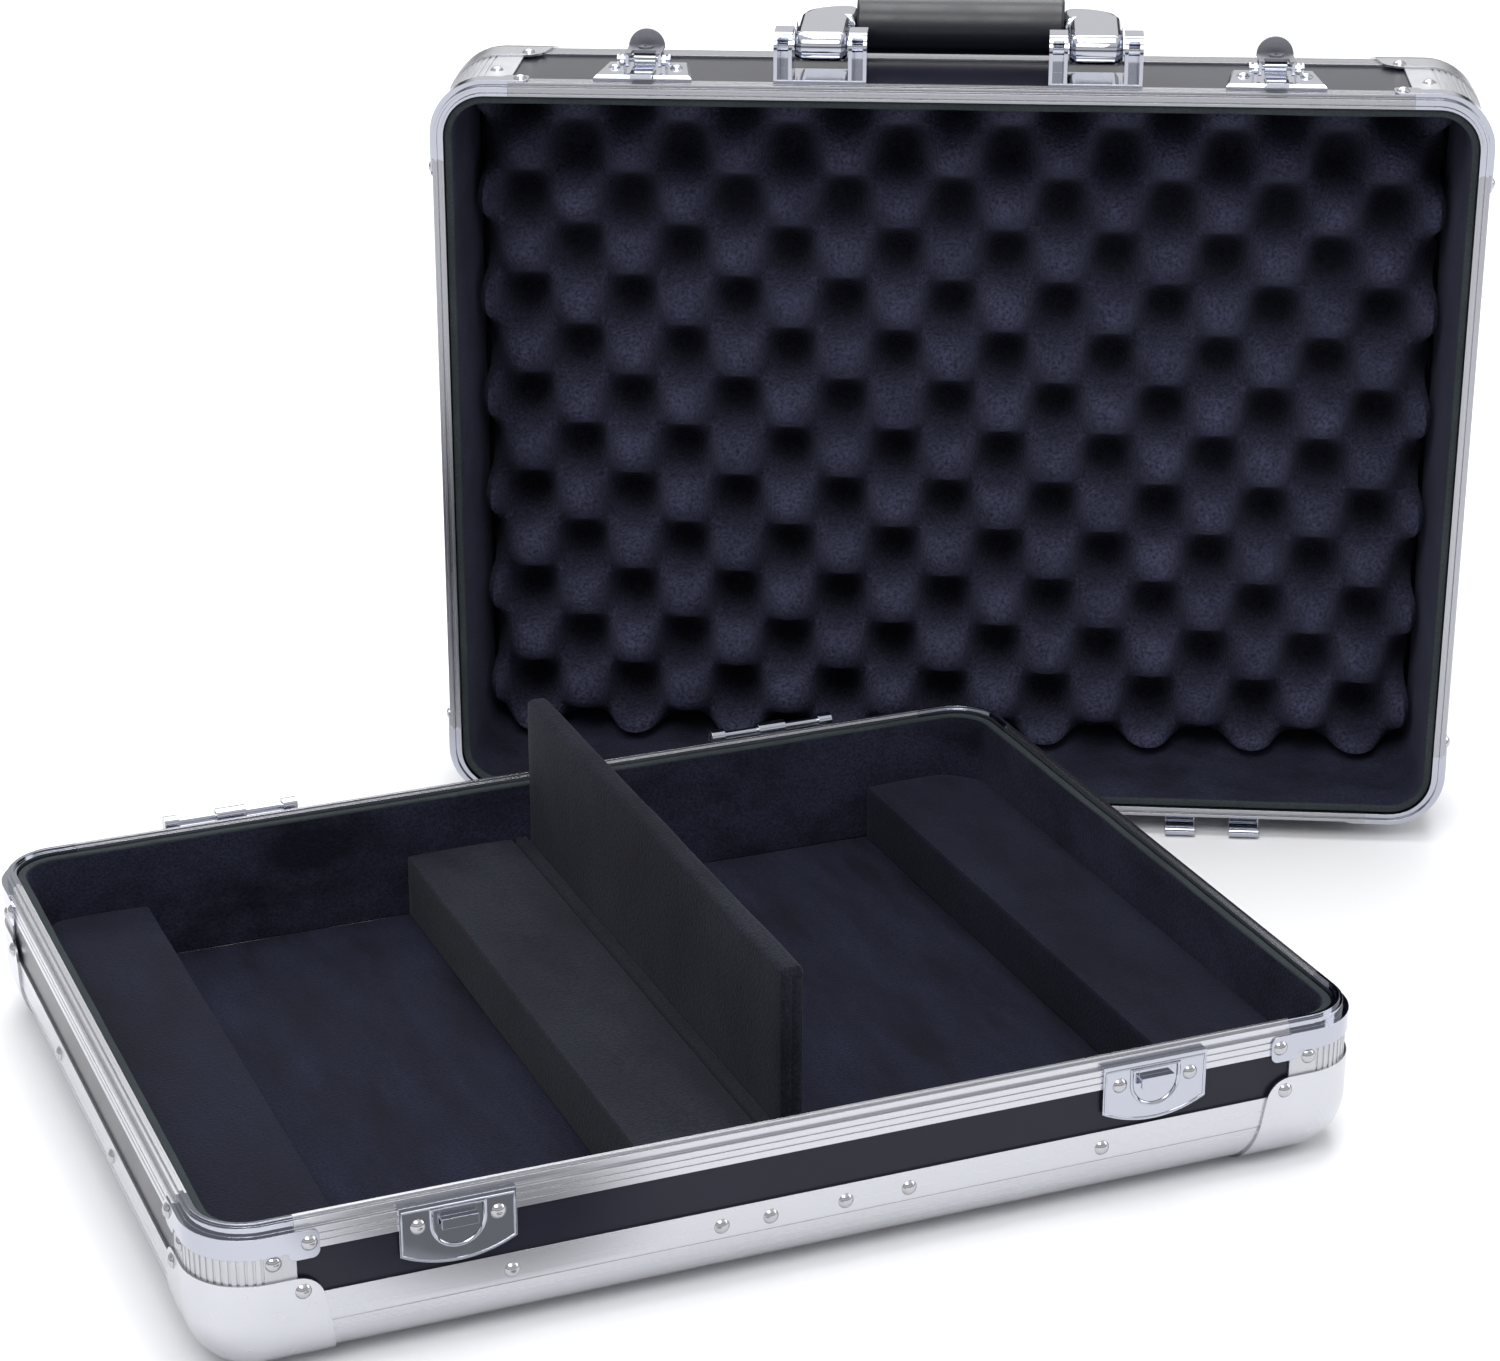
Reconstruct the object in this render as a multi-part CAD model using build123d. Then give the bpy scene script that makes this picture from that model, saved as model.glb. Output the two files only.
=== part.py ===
from build123d import *
from math import atan2, cos, degrees, hypot, radians, sin, sqrt
import os

# Flight case for a table-top CD player, in millimetres.
# The tray lies open, and the centre of its underside is the origin.
# X is the width, the latch side faces -Y, +Z is up.
# The lid is off its lift-off hinges and stands upright behind the tray's right rear corner.

# Overall sizes
case_width = 460.0
case_depth = 340.0
tray_height = 62.5          # underside to the tray's rim
lid_height = 96.0           # outside of the lid's top to its rim
corner_radius = 24.0        # plan radius of the case's corners
edge_radius = 23.0          # big round of the lower edge extrusion

# Stock
skin = 1.0                  # wall of the aluminium extrusions
ply = 3.6                   # laminated plywood
lining_thick = 3.4          # velour over thin foam
lining_drop = 1.5           # its edge below the rim
floor_lining_thick = 1.0
cap_thick = 1.0             # deep-drawn corner caps
tab_thick = 0.8             # rim corners' outer skin
contact_gap = 0.02          # between plates that are riveted face to face
seat_gap = 0.1              # round pieces that sit in a slot
soft_gap = 0.3              # round soft pieces

# Edge extrusion: heights are over the panel's seat
edge_height = 31.5
edge_flange = 32.0
wall_seat = 22.5            # ledge that the walls stand on
seat_lip = 6.0
edge_grooves = (17.4, 19.6)
groove_width = 0.6
groove_depth = 0.35

# Rim extrusion
rim_height = 11.3
rim_ledge = 3.2             # drop of its ledge below the rim
rim_set_in = 1.6            # bead's distance behind the outer face
rim_lip = 9.0
rim_grooves = (5.6, 8.4)    # drops below the rim
tongue_width = 1.4
tongue_height = 1.2
tongue_clearance = 0.15

# Corner pieces
rim_corner_leg = 34.6
tab_leg = 43.0
tab_rise = 11.0
tab_drop = 14.4             # lower edge of a tab below the rim
tab_round = 3.0
cap_leg = 50.0              # along the bottom
cap_leg_top = 42.5
cap_height = 39.0
cap_round = 10.0
flute_count = 13
flute_depth = 0.35
flute_width = 0.9
band_overlap = 4.0          # band's reach behind the rim corner

# Dome rivets
rivet_radius = 3.0
rivet_dome = 1.7
tab_rivet_leg = 39.3
tab_rivet_drop = 8.4
band_rivet_leg = 26.4
tray_band_rivet_drop = 14.6
lid_band_rivet_drop = 27.5
cap_rivet_leg = 36.3
cap_rivet_height = 33.6
edge_rivet_height = 24.5
front_rivets = (-117.3, -37.4, -18.2, 11.5, 36.9, 116.3)
side_rivets = (-52.5, 36.5)

# Lift-off hinges
hinge_x = 126.0
hinge_width = 58.6
pin_radius = 1.8
pin_play = 0.05
pin_out = 4.6               # pin's axis to the case's outer face
knuckle_radius = 3.3
end_knuckle = 6.4
middle_knuckle = 13.0
hinge_leaf = 1.2
hinge_leaf_drop = 26.0
hinge_leaf_top = 3.0
hook_width = 13.5
hook_thick = 1.4
hook_arm_drop = 7.6         # hook's arm to the lid's rim

# Catches on the tray
latch_x = 137.0
catch_width = 43.2
catch_thick = 1.0
catch_foot_drop = 27.0      # lowest point of the arc below the rim
catch_shoulder_drop = 21.5
catch_rivet_pitch = 29.5
catch_rivet_drop = 10.5
catch_slot_width = 20.5
catch_slot_drop = 21.0
catch_hook_width = 13.5
catch_hook_out = 3.6
catch_hook_drop = 6.0
catch_bridge = 1.5           # metal left over the slot
catch_fold_depth = 0.5       # overlap of the folded top with the plate

# Latches on the lid; drops are from the lid's rim
latch_plate_width = 43.2
latch_plate_back = 36.0
latch_plate_length = 29.0
latch_plate_thick = 2.6
latch_plate_skin = 1.2
latch_edge_gap = 8.2
cheek_gap = 16.6
cheek_thick = 1.6
cheek_length = 13.0
cheek_height = 10.4
cheek_round = 4.3
latch_pin_radius = 1.9
latch_pin_out = 7.4
latch_pin_drop = 17.6
pin_bead = 0.9
cheek_seat = 0.5             # cheek's foot over the wall
latch_rivet_gap = 0.6
lever_width = 15.6
lever_thick = 1.4
lever_top = 2.6             # lever plate's underside over the pin's axis
lever_front = 4.4
lever_length = 14.0
lever_ear_low = 2.6
lever_ear_round = 2.2
thumb_radius = 8.0
thumb_rise = 7.2
claw_width = 9.6
claw_thick = 1.4
claw_pin_radius = 1.2
claw_pin_offset = 4.4
claw_notch = 2.2
claw_drop = 4.0              # claw's arm below the lever's axis
claw_eye = 1.0               # metal round the claw's pin
claw_stem = 1.1              # half the width of its stem
claw_tip_back = 0.5          # claw's tip behind the rim plane
claw_lip = 0.4
barrel_radius = 3.1
barrel_back = 7.0
barrel_height = 2.2
barrel_play = 0.08
key_slot = (0.9, 3.8, 1.4)

# Handle
bracket_x = 59.5
bracket_width = 40.4
bracket_cheek = 8.0
bracket_wall = 1.6
bracket_height = 21.5
bracket_length = 24.0
bracket_round = 7.0
bracket_edge_gap = 8.0
handle_drop = 20.0          # pivot to the rim
handle_out = 14.2           # pivot to the lid's front wall
handle_reach = 46.0         # pivot to the grip's axis
grip_radius = 12.6
grip_length = 92.0
grip_round = 1.5
arm_width = 23.0
arm_thick = 13.0
elbow_round = 20.0
handle_pin_radius = 2.6
handle_pin_play = 0.06

# Padding in the tray
strip_width = 53.0
strip_height = 25.8
strip_chamfer = (15.5, 13.5)
block_left = -52.0
block_height = 28.3
spare_slot_x = -2.6
spare_slot_width = 1.8
spare_slot_depth = 16.0
divider_left = 4.0
divider_thick = 9.0
divider_top = 102.0         # over the case's underside
divider_rear_gap = 3.2
divider_length = 284.0
divider_round = 3.0
slot_play = 0.4

# Egg-crate foam in the lid
foam_base = 18.0
foam_peak = 25.0
foam_edge_gap = 2.0
peak_pitch_x = 49.0
peak_pitch_y = 48.0
peak_foot = 0.97            # share of the pitch that a peak's foot covers
peak_top = 0.3
peak_margin = 6.0

# Where the lid stands
lid_yaw = -26.73
lid_slide = 7.3             # tray's corner to the lid's middle, along the lid's rim
lid_stand_gap = 0.5

half_width = case_width / 2
half_depth = case_depth / 2
panel_seat = skin + cap_thick
tray_rim = tray_height - panel_seat
lid_rim = lid_height - panel_seat
rim_width = skin + ply + skin
lining_out = rim_width + soft_gap
lining_face = lining_out + lining_thick
floor_under = ply + skin + seat_gap
floor_top = floor_under + floor_lining_thick
edge_bend = edge_radius - skin
edge_short = edge_flange + seat_gap
lining_foot = edge_bend - sqrt(edge_bend**2 - (edge_radius - lining_out)**2) + soft_gap
floor_inset = edge_radius - sqrt(edge_bend**2 - (edge_bend - floor_under)**2) + soft_gap
walls = {"front": (0, case_width, half_depth), "right": (90, case_depth, half_width),
         "rear": (180, case_width, half_depth), "left": (270, case_depth, half_width)}
os.makedirs("parts", exist_ok=True)


def standing_lid():
    """Stands the lid on its hooks, rim plane beside the tray's right rear corner."""
    turn = radians(lid_yaw)
    away = (-sin(turn), cos(turn))
    along = (cos(turn), sin(turn))
    reach = corner_radius + cap_thick + lid_stand_gap
    x = half_width - corner_radius + reach * away[0] - lid_slide * along[0]
    y = half_depth - corner_radius + reach * away[1] - lid_slide * along[1]
    lift = pin_out + pin_radius + pin_play + hook_thick
    return Location((x, y, lift), (0, 0, lid_yaw)) * Pos(0, lid_rim, half_depth) * Rot(90, 0, 0)


tray_home = Pos(0, 0, panel_seat)
lid_home = standing_lid()


def save(name, shapes, home):
    """Writes one node: a piece, or a group of like pieces."""
    shapes = shapes if isinstance(shapes, (list, tuple)) else [shapes]
    solids = [home * solid for shape in shapes for solid in shape.solids()]
    export_step(solids[0] if len(solids) == 1 else Compound(children=solids), f"parts/{name}.step")


def block(x0, x1, y0, y1, z0, z1):
    return Pos((x0 + x1) / 2, (y0 + y1) / 2, (z0 + z1) / 2) * Box(abs(x1 - x0), abs(y1 - y0), abs(z1 - z0))


def bar(x, y, z, radius, length):
    """A round bar along X with its middle at x, y, z."""
    return Pos(x, y, z) * Rot(0, 90, 0) * Cylinder(radius, length)


def strip_area(s0, s1, z0, z1):
    """A rectangle in a wall's section: inset from the outer face, and height."""
    return Pos((s0 + s1) / 2, (z0 + z1) / 2) * Rectangle(s1 - s0, z1 - z0)


def along_wall(section, wall, short):
    """Runs a wall's section along one side of the case, short of both corners."""
    turn, length, reach = walls[wall]
    run = length - 2 * short
    start = Plane(origin=(-run / 2, -reach, 0), x_dir=(0, 1, 0), z_dir=(1, 0, 0))
    return Rot(0, 0, turn) * extrude(start * section, run)


def plan_area(grow):
    """The case's plan outline, moved out by grow."""
    return RectangleRounded(case_width + 2 * grow, case_depth + 2 * grow, corner_radius + grow)


def ring(outside, inside, z0, z1):
    """A band round the whole case between two offsets of its outline."""
    return Pos(0, 0, z0) * extrude(plan_area(outside) - plan_area(inside), z1 - z0)


def four_corners(piece):
    """The front right piece and its three mirror images."""
    twin = mirror(piece, Plane.YZ)
    return [piece, twin, mirror(piece, Plane.XZ), mirror(twin, Plane.XZ)]


def right_corner(leg, z0, z1, grow=3.0):
    """The space of the front right corner, leg long on both sides."""
    return block(half_width - leg, half_width + grow, -half_depth - grow, -half_depth + leg, z0, z1)


def swap_sides(piece):
    """Moves a piece of the front right corner from the front wall to the right wall."""
    shift = Pos(half_width, -half_depth, 0)
    return shift * (Rot(0, 0, 90) * mirror(shift.inverse() * piece, Plane.YZ))


def on_wall(wall, across, height, proud=0.0):
    """Places what points up (+Z) onto a side wall, pointing out."""
    turn, _, reach = walls[wall]
    return Rot(0, 0, turn) * Location((across, -reach - proud, height), (90, 0, 0))


def rivet():
    """A dome head, seated at z = 0."""
    sphere = (rivet_radius**2 + rivet_dome**2) / (2 * rivet_dome)
    ball = Pos(0, 0, rivet_dome - sphere) * Sphere(sphere)
    return ball & block(-rivet_radius, rivet_radius, -rivet_radius, rivet_radius, 0, 2 * rivet_dome)


def groove(height):
    """A fine line along the outside of an extrusion."""
    return strip_area(-1, groove_depth, height - groove_width / 2, height + groove_width / 2)


def edge_section():
    """Lower edge extrusion: rounded outside, with ledges for the wall and the panel."""
    bend = edge_bend
    section = strip_area(0, edge_radius, -skin, edge_height)
    section -= strip_area(0, edge_radius, -skin, bend) - Pos(edge_radius, bend) * Circle(edge_radius)
    section -= Pos(edge_radius, bend) * Circle(bend)
    section -= strip_area(skin, edge_radius, bend, edge_height)
    section += strip_area(edge_radius - skin, edge_flange, -skin, 0)
    section += strip_area(edge_radius - skin, edge_radius, -skin, ply + skin)
    section += strip_area(edge_radius - skin, edge_flange, ply + seat_gap / 2, ply + skin)
    section += strip_area(skin / 2, rim_width, wall_seat - skin, wall_seat)
    section += strip_area(rim_width - skin, rim_width, wall_seat - skin, wall_seat + seat_lip)
    for height in edge_grooves:
        section -= groove(height)
    return section


def rim_section(rim, tongued):
    """Rim extrusion over a wall's edge; the tray's has the tongue and the lid's the groove."""
    section = strip_area(0, skin, rim - rim_height, rim - rim_ledge)
    section += strip_area(0, rim_width, rim - rim_ledge - skin, rim - rim_ledge)
    section += strip_area(rim_set_in, rim_width, rim - rim_ledge - skin, rim)
    section += strip_area(rim_width - skin, rim_width, rim - rim_lip, rim)
    for drop in rim_grooves:
        section -= groove(rim - drop)
    middle = (rim_set_in + rim_width) / 2
    if tongued:
        half = tongue_width / 2
        return section + strip_area(middle - half, middle + half, rim - skin, rim + tongue_height)
    half = tongue_width / 2 + tongue_clearance
    depth = tongue_height + tongue_clearance
    return section - strip_area(middle - half, middle + half, rim - depth, rim + depth)


def wall_span(rim):
    return wall_seat + seat_gap, rim - rim_ledge - skin - seat_gap


def wall_board(rim, wall):
    """One laminated plywood side between its two extrusions."""
    low, high = wall_span(rim)
    section = strip_area(skin + seat_gap / 2, skin + ply - seat_gap / 2, low, high)
    return along_wall(section, wall, corner_radius + seat_gap)


def corner_posts(rim):
    """Bent plywood quarter rounds that join the walls inside the corners."""
    low, high = wall_span(rim)
    post = ring(-skin - seat_gap / 2, -skin - ply + seat_gap / 2, low, high)
    return four_corners(post & right_corner(corner_radius, low, high))


def panel():
    """Laminated panel: its edge sits in the extrusions' slot, its face is flush with the caps."""
    inset = edge_radius + seat_gap
    board = extrude(RectangleRounded(case_width - 2 * inset, case_depth - 2 * inset, corner_radius / 2), ply)
    face = edge_flange + seat_gap
    flush = Rectangle(case_width - 2 * face, case_depth - 2 * face)
    notch = cap_leg - face + 2 * seat_gap
    for x in (-1, 1):
        for y in (-1, 1):
            corner = Pos(x * (half_width - face), y * (half_depth - face))
            flush -= corner * RectangleRounded(2 * notch, 2 * notch, cap_round)
    return board + Pos(0, 0, -panel_seat) * extrude(flush, panel_seat)


def rim_corners(rim, tongued):
    """Chrome corner pieces that carry the rim round, with a riveted tab at each end."""
    foot, ledge = rim - rim_height, rim - rim_ledge
    piece = ring(tab_thick, contact_gap, foot, ledge) + ring(tab_thick, -rim_width, ledge - skin, ledge)
    piece += ring(-rim_set_in, -rim_width, ledge - skin, rim)
    piece += ring(-rim_width + skin, -rim_width, rim - rim_lip, rim)
    middle = (rim_set_in + rim_width) / 2
    half = tongue_width / 2
    if tongued:
        piece += ring(-middle + half, -middle - half, rim - skin, rim + tongue_height)
    else:
        half += tongue_clearance
        depth = tongue_height + tongue_clearance
        piece -= ring(-middle + half, -middle - half, rim - depth, rim + depth)
    piece = piece & right_corner(rim_corner_leg, foot, rim + tongue_height)
    tab = rim_tab(rim - tab_drop)
    return four_corners(piece + tab + swap_sides(tab))


def rim_tab(low):
    """Rounded end tab of a rim corner piece on the front wall."""
    start, end = half_width - rim_corner_leg + tab_round, half_width - tab_leg
    plate = Pos((start + end) / 2, low + tab_rise / 2) * RectangleRounded(start - end, tab_rise, tab_round)
    wall = Plane(origin=(0, -half_depth - contact_gap, 0), x_dir=(1, 0, 0), z_dir=(0, -1, 0))
    return extrude(wall * plate, tab_thick - contact_gap)


def corner_bands(rim):
    """Fluted bands round the corners between the caps and the rim corners."""
    low, high = edge_height + seat_gap, rim - rim_height + band_overlap
    band = ring(0, -skin + seat_gap / 2, low, high) & right_corner(rim_corner_leg, low, high)
    centre = Pos(half_width - corner_radius, -half_depth + corner_radius, (low + high) / 2)
    for index in range(flute_count):
        angle = -90 + (index + 0.5) * 90 / flute_count
        flute = Box(2 * flute_depth, flute_width, 2 * (high - low))
        band -= centre * Rot(0, 0, angle) * Pos(corner_radius, 0, 0) * flute
    return four_corners(band)


def envelope(grow, top):
    """The closed outer form of one half, moved out by grow."""
    body = Pos(0, 0, -skin - grow) * extrude(plan_area(grow), top + skin + grow)
    return fillet(body.faces().sort_by(Axis.Z)[0].edges(), edge_radius + grow)


def ball_corners():
    """Deep-drawn corner caps over the ends of the edge extrusions."""
    cap = envelope(cap_thick, cap_height) - envelope(contact_gap, cap_height + 1)
    cap = cap & right_corner(cap_leg, -panel_seat, cap_height)
    trim = cap_trim()
    return four_corners(cap - trim - swap_sides(trim) - lobe_trim())


def cap_trim():
    """What slants and rounds a cap's end on the front wall."""
    end, end_top = half_width - cap_leg, half_width - cap_leg_top
    far = half_width + 5
    keep = make_face(Polyline((end, -panel_seat), (end_top, cap_height), (far, cap_height),
                              (far, -2 * panel_seat), (end, -2 * panel_seat), close=True))
    corner = keep.vertices().filter_by(lambda v: abs(v.X - end_top) < 0.01)
    keep = fillet(corner, cap_round)
    around = strip_area(end - 5, far - 1, -1.5 * panel_seat, cap_height + 1)
    wall = Plane(origin=(0, -half_depth + edge_radius, 0), x_dir=(1, 0, 0), z_dir=(0, -1, 0))
    return extrude(wall * (around - keep), edge_radius + 5)


def lobe_trim():
    """What rounds the inner corner of a cap's underside."""
    x, y = half_width - cap_leg + cap_round, -half_depth + cap_leg - cap_round
    waste = block(x - 2 * cap_round, x, y, y + 2 * cap_round, -2 * panel_seat, panel_seat)
    return waste - Pos(x, y, 0) * Cylinder(cap_round, 6 * panel_seat)


def half_rivets(rim, band_drop, bottom_rivets):
    """The rivets of one half's corner pieces and edge extrusions."""
    group = []
    for wall, side, reach in (("front", 1, half_width), ("right", -1, half_depth)):
        tab = on_wall(wall, side * (reach - tab_rivet_leg), rim - tab_rivet_drop, tab_thick + contact_gap)
        band = on_wall(wall, side * (reach - band_rivet_leg), rim - band_drop, contact_gap)
        cap = on_wall(wall, side * (reach - cap_rivet_leg), cap_rivet_height, cap_thick + contact_gap)
        for place in (tab, band, cap):
            group += four_corners(place * rivet())
    for names, spots in ((("front", "rear"), bottom_rivets), (("left", "right"), side_rivets)):
        group += [on_wall(wall, across, edge_rivet_height, contact_gap) * rivet()
                  for wall in names for across in spots]
    return group


def catch_rivets():
    return [on_wall("front", side * latch_x + step * catch_rivet_pitch / 2, tray_rim - catch_rivet_drop,
                    catch_thick + 2 * contact_gap) * rivet() for side in (-1, 1) for step in (-1, 1)]


def catch_plate(side):
    """Catch plate with an arched foot, a U-shaped slot and a bent hook in the slot."""
    top, foot = tray_rim - rim_ledge, tray_rim - catch_foot_drop
    shoulder = tray_rim - catch_shoulder_drop
    half, slot_half, hook_half = catch_width / 2, catch_slot_width / 2, catch_hook_width / 2
    sag = shoulder - foot
    arc_radius = (half**2 + sag**2) / (2 * sag)
    outline = strip_area(-half, half, shoulder, top)
    outline += Pos(0, foot + arc_radius) * Circle(arc_radius) & strip_area(-half, half, foot, shoulder)
    slot_foot = tray_rim - catch_slot_drop
    slot = strip_area(-slot_half, slot_half, slot_foot + slot_half, top - catch_bridge)
    slot += Pos(0, slot_foot + slot_half) * Circle(slot_half)
    slot -= strip_area(-hook_half, hook_half, top - catch_hook_drop, top)
    plate = extrude(outline - slot, catch_thick)
    fold = block(-half, half, top + contact_gap, top + contact_gap + catch_thick,
                 -rim_set_in + seat_gap, catch_thick)
    fold += block(-half, half, top - catch_fold_depth, top + catch_thick, 0, catch_thick)
    bend = top - catch_hook_drop
    hook = block(-hook_half, hook_half, bend, bend + catch_thick, 0, catch_hook_out)
    hook += block(-hook_half, hook_half, bend - catch_hook_drop / 2, bend + catch_thick,
                  catch_hook_out - catch_thick, catch_hook_out)
    wall = Location((side * latch_x, -half_depth - contact_gap, 0), (90, 0, 0))
    return wall * (plate + fold + hook)


def tray_hinge(side):
    """Hinge leaf on the tray's rear wall, with three knuckles for the pin."""
    inner = half_depth + contact_gap
    outer = inner + hinge_leaf
    half = hinge_width / 2
    leaf = block(-half, half, inner, outer, tray_rim - hinge_leaf_drop, tray_rim - hinge_leaf_top)
    below = tray_rim - knuckle_radius
    spans = ((-half, -half + end_knuckle), (-middle_knuckle / 2, middle_knuckle / 2), (half - end_knuckle, half))
    for x0, x1 in spans:
        leaf += bar((x0 + x1) / 2, half_depth + pin_out, tray_rim, knuckle_radius, x1 - x0)
        leaf += block(x0, x1, inner, half_depth + pin_out, below, below + hinge_leaf)
    leaf -= bar(0, half_depth + pin_out, tray_rim, pin_radius + pin_play, 2 * hinge_width)
    return Pos(side * hinge_x, 0, 0) * leaf


def hinge_pin(side):
    """Long pin, bare between the knuckles, that the lid's hooks drop over."""
    return bar(side * hinge_x, half_depth + pin_out, tray_rim, pin_radius, hinge_width)


def lid_hooks(side):
    """Lid's hinge leaf with two hooks that wrap round the bare stretches of the pin."""
    wall_y = -half_depth - contact_gap
    half = hinge_width / 2
    arm_z = lid_rim - hook_arm_drop
    leaf = block(-half, half, wall_y - hinge_leaf, wall_y, lid_rim - hinge_leaf_drop, arm_z + hook_thick)
    inner = pin_radius + pin_play
    outer = inner + hook_thick
    middle = (middle_knuckle / 2 + half - end_knuckle) / 2
    axis_y = -half_depth - pin_out
    curl = Circle(outer) - Circle(inner) - strip_area(0, 2 * outer, -2 * outer, 2 * outer)
    for step in (-1, 1):
        x0, x1 = step * middle - hook_width / 2, step * middle + hook_width / 2
        start = Plane(origin=(x0, axis_y, lid_rim), x_dir=(0, 1, 0), z_dir=(1, 0, 0))
        hook = extrude(start * curl, hook_width)
        hook += block(x0, x1, axis_y - outer, axis_y - inner, arm_z, lid_rim)
        leaf += hook + block(x0, x1, axis_y - outer, wall_y, arm_z, arm_z + hook_thick)
    return Pos(side * hinge_x, 0, 0) * leaf


def wall_lining(rim):
    """Lining of the four walls, with quarter rounds in the corners."""
    top = rim - lining_drop
    section = strip_area(lining_out, lining_face, lining_foot, top)
    sides = [along_wall(section, wall, corner_radius + soft_gap) for wall in walls]
    bend = ring(-lining_out, -lining_face, lining_foot, top) & right_corner(corner_radius, lining_foot, top)
    return sides + four_corners(bend)


def floor_lining():
    outline = RectangleRounded(case_width - 2 * floor_inset, case_depth - 2 * floor_inset,
                               corner_radius - floor_inset)
    return Pos(0, 0, floor_under) * extrude(outline, floor_lining_thick)


def support_strip(side):
    """Long support strip with cut-off outer corners, left or right in the tray."""
    outer = half_width - lining_face - soft_gap
    inner = outer - strip_width
    reach = half_depth - lining_face - soft_gap
    cut_x, cut_y = strip_chamfer
    outline = Polyline((inner, -reach), (outer - cut_x, -reach), (outer, -reach + cut_y),
                       (outer, reach - cut_y), (outer - cut_x, reach), (inner, reach), close=True)
    solid = Pos(0, 0, floor_top) * extrude(make_face(outline), strip_height)
    return solid if side > 0 else mirror(solid, Plane.YZ)


def middle_block():
    """Foam block that the divider stands against, with a narrow slit near the divider."""
    reach = half_depth - lining_face - soft_gap
    top = floor_top + block_height
    solid = block(block_left, divider_left - slot_play, -reach, reach, floor_top, top)
    half = spare_slot_width / 2
    return solid - block(spare_slot_x - half, spare_slot_x + half, -reach - 1, reach + 1,
                         top - spare_slot_depth, top + 1)


def divider():
    """Padded divider board, which stands beside the middle block and lifts out."""
    rear = half_depth - lining_face - divider_rear_gap
    board = block(divider_left, divider_left + divider_thick, rear - divider_length, rear,
                  floor_top + soft_gap, divider_top - panel_seat)
    return fillet(board.edges().filter_by(Axis.Y).group_by(Axis.Z)[-1], divider_round)


def egg_foam():
    """Egg-crate foam: a slab with staggered, blunt peaks on a diamond plan."""
    half_x = half_width - lining_face - foam_edge_gap
    half_y = half_depth - lining_face - foam_edge_gap
    base = floor_under
    outline = RectangleRounded(2 * half_x, 2 * half_y, corner_radius - lining_face - foam_edge_gap)
    slab = Pos(0, 0, base) * extrude(outline, foam_base)
    tip_x, tip_y = peak_foot * peak_pitch_x / 2, peak_foot * peak_pitch_y / 2
    diamond = make_face(Polyline((tip_x, 0), (0, tip_y), (-tip_x, 0), (0, -tip_y), close=True))
    inset = (1 - peak_top / peak_foot) * tip_x * tip_y / hypot(tip_x, tip_y)
    peak = extrude(diamond, foam_peak, taper=degrees(atan2(inset, foam_peak)))
    peaks = []
    rows, columns = int(2 * half_y / peak_pitch_y) + 1, int(half_x / peak_pitch_x) + 1
    for row in range(-rows, rows + 1):
        for column in range(-columns, columns + 1):
            x, y = (column + (row % 2) / 2) * peak_pitch_x, row * peak_pitch_y / 2
            if abs(x) < half_x - peak_margin and abs(y) < half_y - peak_margin:
                peaks.append(Pos(x, y, base + foam_base) * peak)
    return (slab + peaks) & Pos(0, 0, base) * extrude(outline, foam_base + foam_peak)


def front_wall(across, drop, out=0.0):
    """Places a piece on the lid's front wall: X across, Y towards the panel, Z out of the wall."""
    return Location((across, half_depth + out, lid_rim - drop), (-90, 0, 0))


def latch_frame(side):
    """Frame of one latch, with its origin on the lever's axis."""
    return front_wall(side * latch_x, latch_pin_drop, latch_pin_out)


def latch_plate(side):
    """Pressed, tapering base plate of a latch, with two cheeks for the lever."""
    front, under = latch_edge_gap - latch_pin_drop, contact_gap - latch_pin_out
    back = front + latch_plate_length
    half_front, half_back = latch_plate_width / 2, latch_plate_back / 2
    outline = make_face(Polyline((-half_front, front), (half_front, front), (half_back, back),
                                 (-half_back, back), close=True))
    plate = Pos(0, 0, under) * extrude(outline, latch_plate_thick)
    plate = chamfer(plate.faces().sort_by(Axis.Z)[-1].edges(), latch_plate_skin)
    for step in (-1, 1):
        x0 = step * cheek_gap / 2
        cheek = block(x0, x0 + step * cheek_thick, -cheek_length / 2, cheek_length / 2, under + cheek_seat,
                      under + cheek_height)
        plate += fillet(cheek.edges().filter_by(Axis.X).group_by(Axis.Z)[-1], cheek_round)
        plate += Pos(step * (cheek_gap / 2 + cheek_thick + rivet_radius + latch_rivet_gap), cheek_length / 2,
                     under + latch_plate_thick) * rivet()
    plate -= bar(0, 0, 0, latch_pin_radius + contact_gap, 2 * cheek_gap)
    return latch_frame(side) * plate


def latch_pins():
    """Stub pins that carry the levers in their cheeks, beaded at the outer end."""
    pins = []
    inner = lever_width / 2 - lever_thick
    outer = cheek_gap / 2 + cheek_thick + pin_bead
    for side in (-1, 1):
        for step in (-1, 1):
            stub = bar(step * (inner + outer) / 2, 0, 0, latch_pin_radius, outer - inner)
            stub += bar(step * (outer + pin_bead / 2), 0, 0, latch_pin_radius + pin_bead, pin_bead)
            pins.append(latch_frame(side) * stub)
    return pins


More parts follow.
